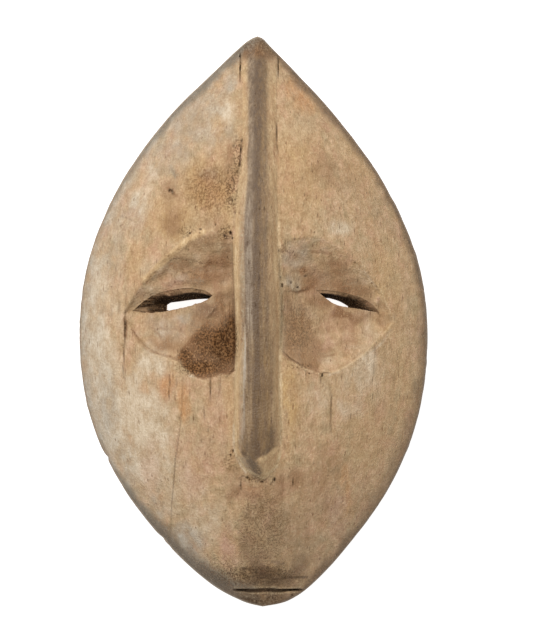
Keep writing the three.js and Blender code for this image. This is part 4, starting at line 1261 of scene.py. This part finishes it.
grey = node(tree, "Math", {0: pattern["mottle"], 1: 0.5}, operation="MULTIPLY").outputs[0]
colour = blend_in(colour, linear("#b9a588"), grey)
TINTS = [  # colour, the pattern that places it, where it starts and is full, and how strong it gets
    ("#c49b80", "blush", 0.55, 1.0, 0.45),
    ("#a69a7a", "blush", 0.45, 0.0, 0.45),
    ("#d2ad90", "bloom", 0.6, 1.0, 0.35),
    ("#a3946c", "bloom", 0.4, 0.0, 0.35),
]
for code, placed_by, start, full, strength in TINTS:
    reach = {"Value": pattern[placed_by], "From Min": start, "From Max": full, "To Max": strength}
    colour = blend_in(colour, linear(code), node(tree, "MapRange", reach).outputs[0])
for name, darker, lighter, frayed_by, fray in STAINS:
    zone = node(tree, "Attribute", attribute_name=name).outputs["Fac"]
    frayed = {0: pattern[frayed_by], 1: 1.4 * fray, 2: 1 - 0.75 * fray}
    frayed = node(tree, "Math", frayed, operation="MULTIPLY_ADD").outputs[0]
    amount = node(tree, "Math", {0: zone, 1: frayed}, operation="MULTIPLY", use_clamp=True).outputs[0]
    stain = blend_in(linear(darker), linear(lighter), pattern[frayed_by])
    colour = blend_in(colour, stain, amount)
crumbled = node(tree, "Attribute", attribute_name="crumbled").outputs["Fac"]
hole = {"Value": pattern["grit"], "From Min": 0.2, "From Max": 0.45, "To Min": 0.9, "To Max": 0.0}
hole = node(tree, "MapRange", hole).outputs[0]
broken = node(tree, "Math", {0: crumbled, 1: hole}, operation="MULTIPLY").outputs[0]
colour = blend_in(colour, linear("#56371b"), broken)
dash = node(tree, "Math", {0: pattern["vessel"], 1: pattern["mottle"]}, operation="MULTIPLY").outputs[0]
colour = blend_in(colour, linear("#b89c7e"), dash, "MULTIPLY")
polish = node(tree, "Attribute", attribute_name="patina").outputs["Fac"]
clean = node(tree, "Math", {0: polish, 1: crumbled}, operation="MAXIMUM").outputs[0]
dust = node(tree, "MapRange", {"Value": clean, "To Min": 0.3, "To Max": 0.06}).outputs[0]
speckled = {"Value": pattern["grit"], "From Min": 0.6, "To Min": 0.0, "To Max": dust}
colour = blend_in(colour, linear("#c9b595"), node(tree, "MapRange", speckled).outputs[0])
for name, strength in (("fibre", 0.35), ("grit", 0.45), ("bloom", 0.4)):
    fine = node(tree, "MapRange", {"Value": pattern[name], "To Min": strength, "To Max": 0.0}).outputs[0]
    colour = blend_in(colour, linear("#c3ac92"), fine, "MULTIPLY")
print(len(STAINS), "stains and", len(TINTS), "tints")

# %% Dull surface with raised fibres
dull = node(tree, "MapRange", {"Value": polish, "To Min": 0.8, "To Max": 0.5}).outputs[0]
raised = pattern["grit"]
for form, lift in ((pattern["fibre"], 0.5), (pattern["vessel"], -1.2), (broken, -3.0)):
    raised = node(tree, "Math", {0: form, 1: lift, 2: raised}, operation="MULTIPLY_ADD").outputs[0]
bump = node(tree, "Bump", {"Height": raised, "Strength": 1.0, "Distance": 0.00012}).outputs[0]
shaded_cuts = node(tree, "Attribute", attribute_name="dirt_and_shade_in_cuts").outputs["Fac"]
rough = node(tree, "Math", {0: shaded_cuts, 1: crumbled}, operation="MAXIMUM").outputs[0]
shine = node(tree, "MapRange", {"Value": rough, "To Min": 0.5, "To Max": 0.05}).outputs[0]
wood = {"Base Color": colour, "Roughness": dull, "Normal": bump, "IOR": 1.5, "Specular IOR Level": shine}
surface = node(tree, "BsdfPrincipled", wood)
node(tree, "OutputMaterial", {"Surface": surface.outputs[0]})
mesh.materials.append(weathered_hardwood)
print(len(tree.nodes), "nodes in", weathered_hardwood.name)

# %% [markdown]
# ## Floor, light and camera
# The mask lies on a pale floor that gives off light of its own, as a light table does, so it
# stays white also where it shows through the slits. One large soft lamp stands at the upper left and the
# sky fills the rest. The camera looks straight down from a metre away with a long lens, which keeps the
# outline true.

# %% Floor
FLOOR_HALF, FLOOR_BELOW = 3.0, 0.0003  # metres; a hair below the rim, so the two don't share a plane
turns = ((-1, -1), (1, -1), (1, 1), (-1, 1))
floor_corners = [(FLOOR_HALF * a, FLOOR_HALF * b, -FLOOR_BELOW) for a, b in turns]
floor_mesh = bpy.data.meshes.new("floor")
floor_mesh.from_pydata(floor_corners, [], [(0, 1, 2, 3)])
floor = bpy.data.objects.new("floor", floor_mesh)
bpy.context.scene.collection.objects.link(floor)
white_board = bpy.data.materials.new("white_board")
white_board.use_nodes = True
tree = white_board.node_tree
tree.nodes.clear()
paper = {"Base Color": linear("#a8a8a8"), "Roughness": 1.0, "Emission Color": linear("#ffffff")}
paper.update({"Emission Strength": 0.92, "Specular IOR Level": 0.0})
node(tree, "OutputMaterial", {"Surface": node(tree, "BsdfPrincipled", paper).outputs[0]})
floor_mesh.materials.append(white_board)
print("floor", 2 * FLOOR_HALF, "m wide")

# %% Light
world = bpy.data.worlds.new("soft_sky")
bpy.context.scene.world = world
world.use_nodes = True
sky = world.node_tree.nodes["Background"]
sky.inputs["Color"].default_value = linear("#ffffff")
sky.inputs["Strength"].default_value = 0.44
lamp = bpy.data.lights.new("window", "AREA")
lamp.energy, lamp.size = 116.0, 2.0  # watts, and the side of the square in metres
window = bpy.data.objects.new("window", lamp)
window.location = (-0.7, 1.45, 2.6)
window.rotation_euler = (-window.location).to_track_quat("-Z", "Y").to_euler()
bpy.context.scene.collection.objects.link(window)
bpy.context.scene.view_settings.view_transform = "Standard"
print("lamp", window.location.length, "m away")

# %% Camera
lens = bpy.data.cameras.new("camera")
lens.sensor_width, lens.lens = 36.0, 192.2  # millimetres
camera = bpy.data.objects.new("camera", lens)
camera.location = (0.0039, 0.0022, 1.004)  # metres, a little off the middle, as in the picture
bpy.context.scene.collection.objects.link(camera)
bpy.context.scene.camera = camera
print("camera", camera.location.z, "m above the rim")

# %% Finish
bpy.context.view_layer.update()
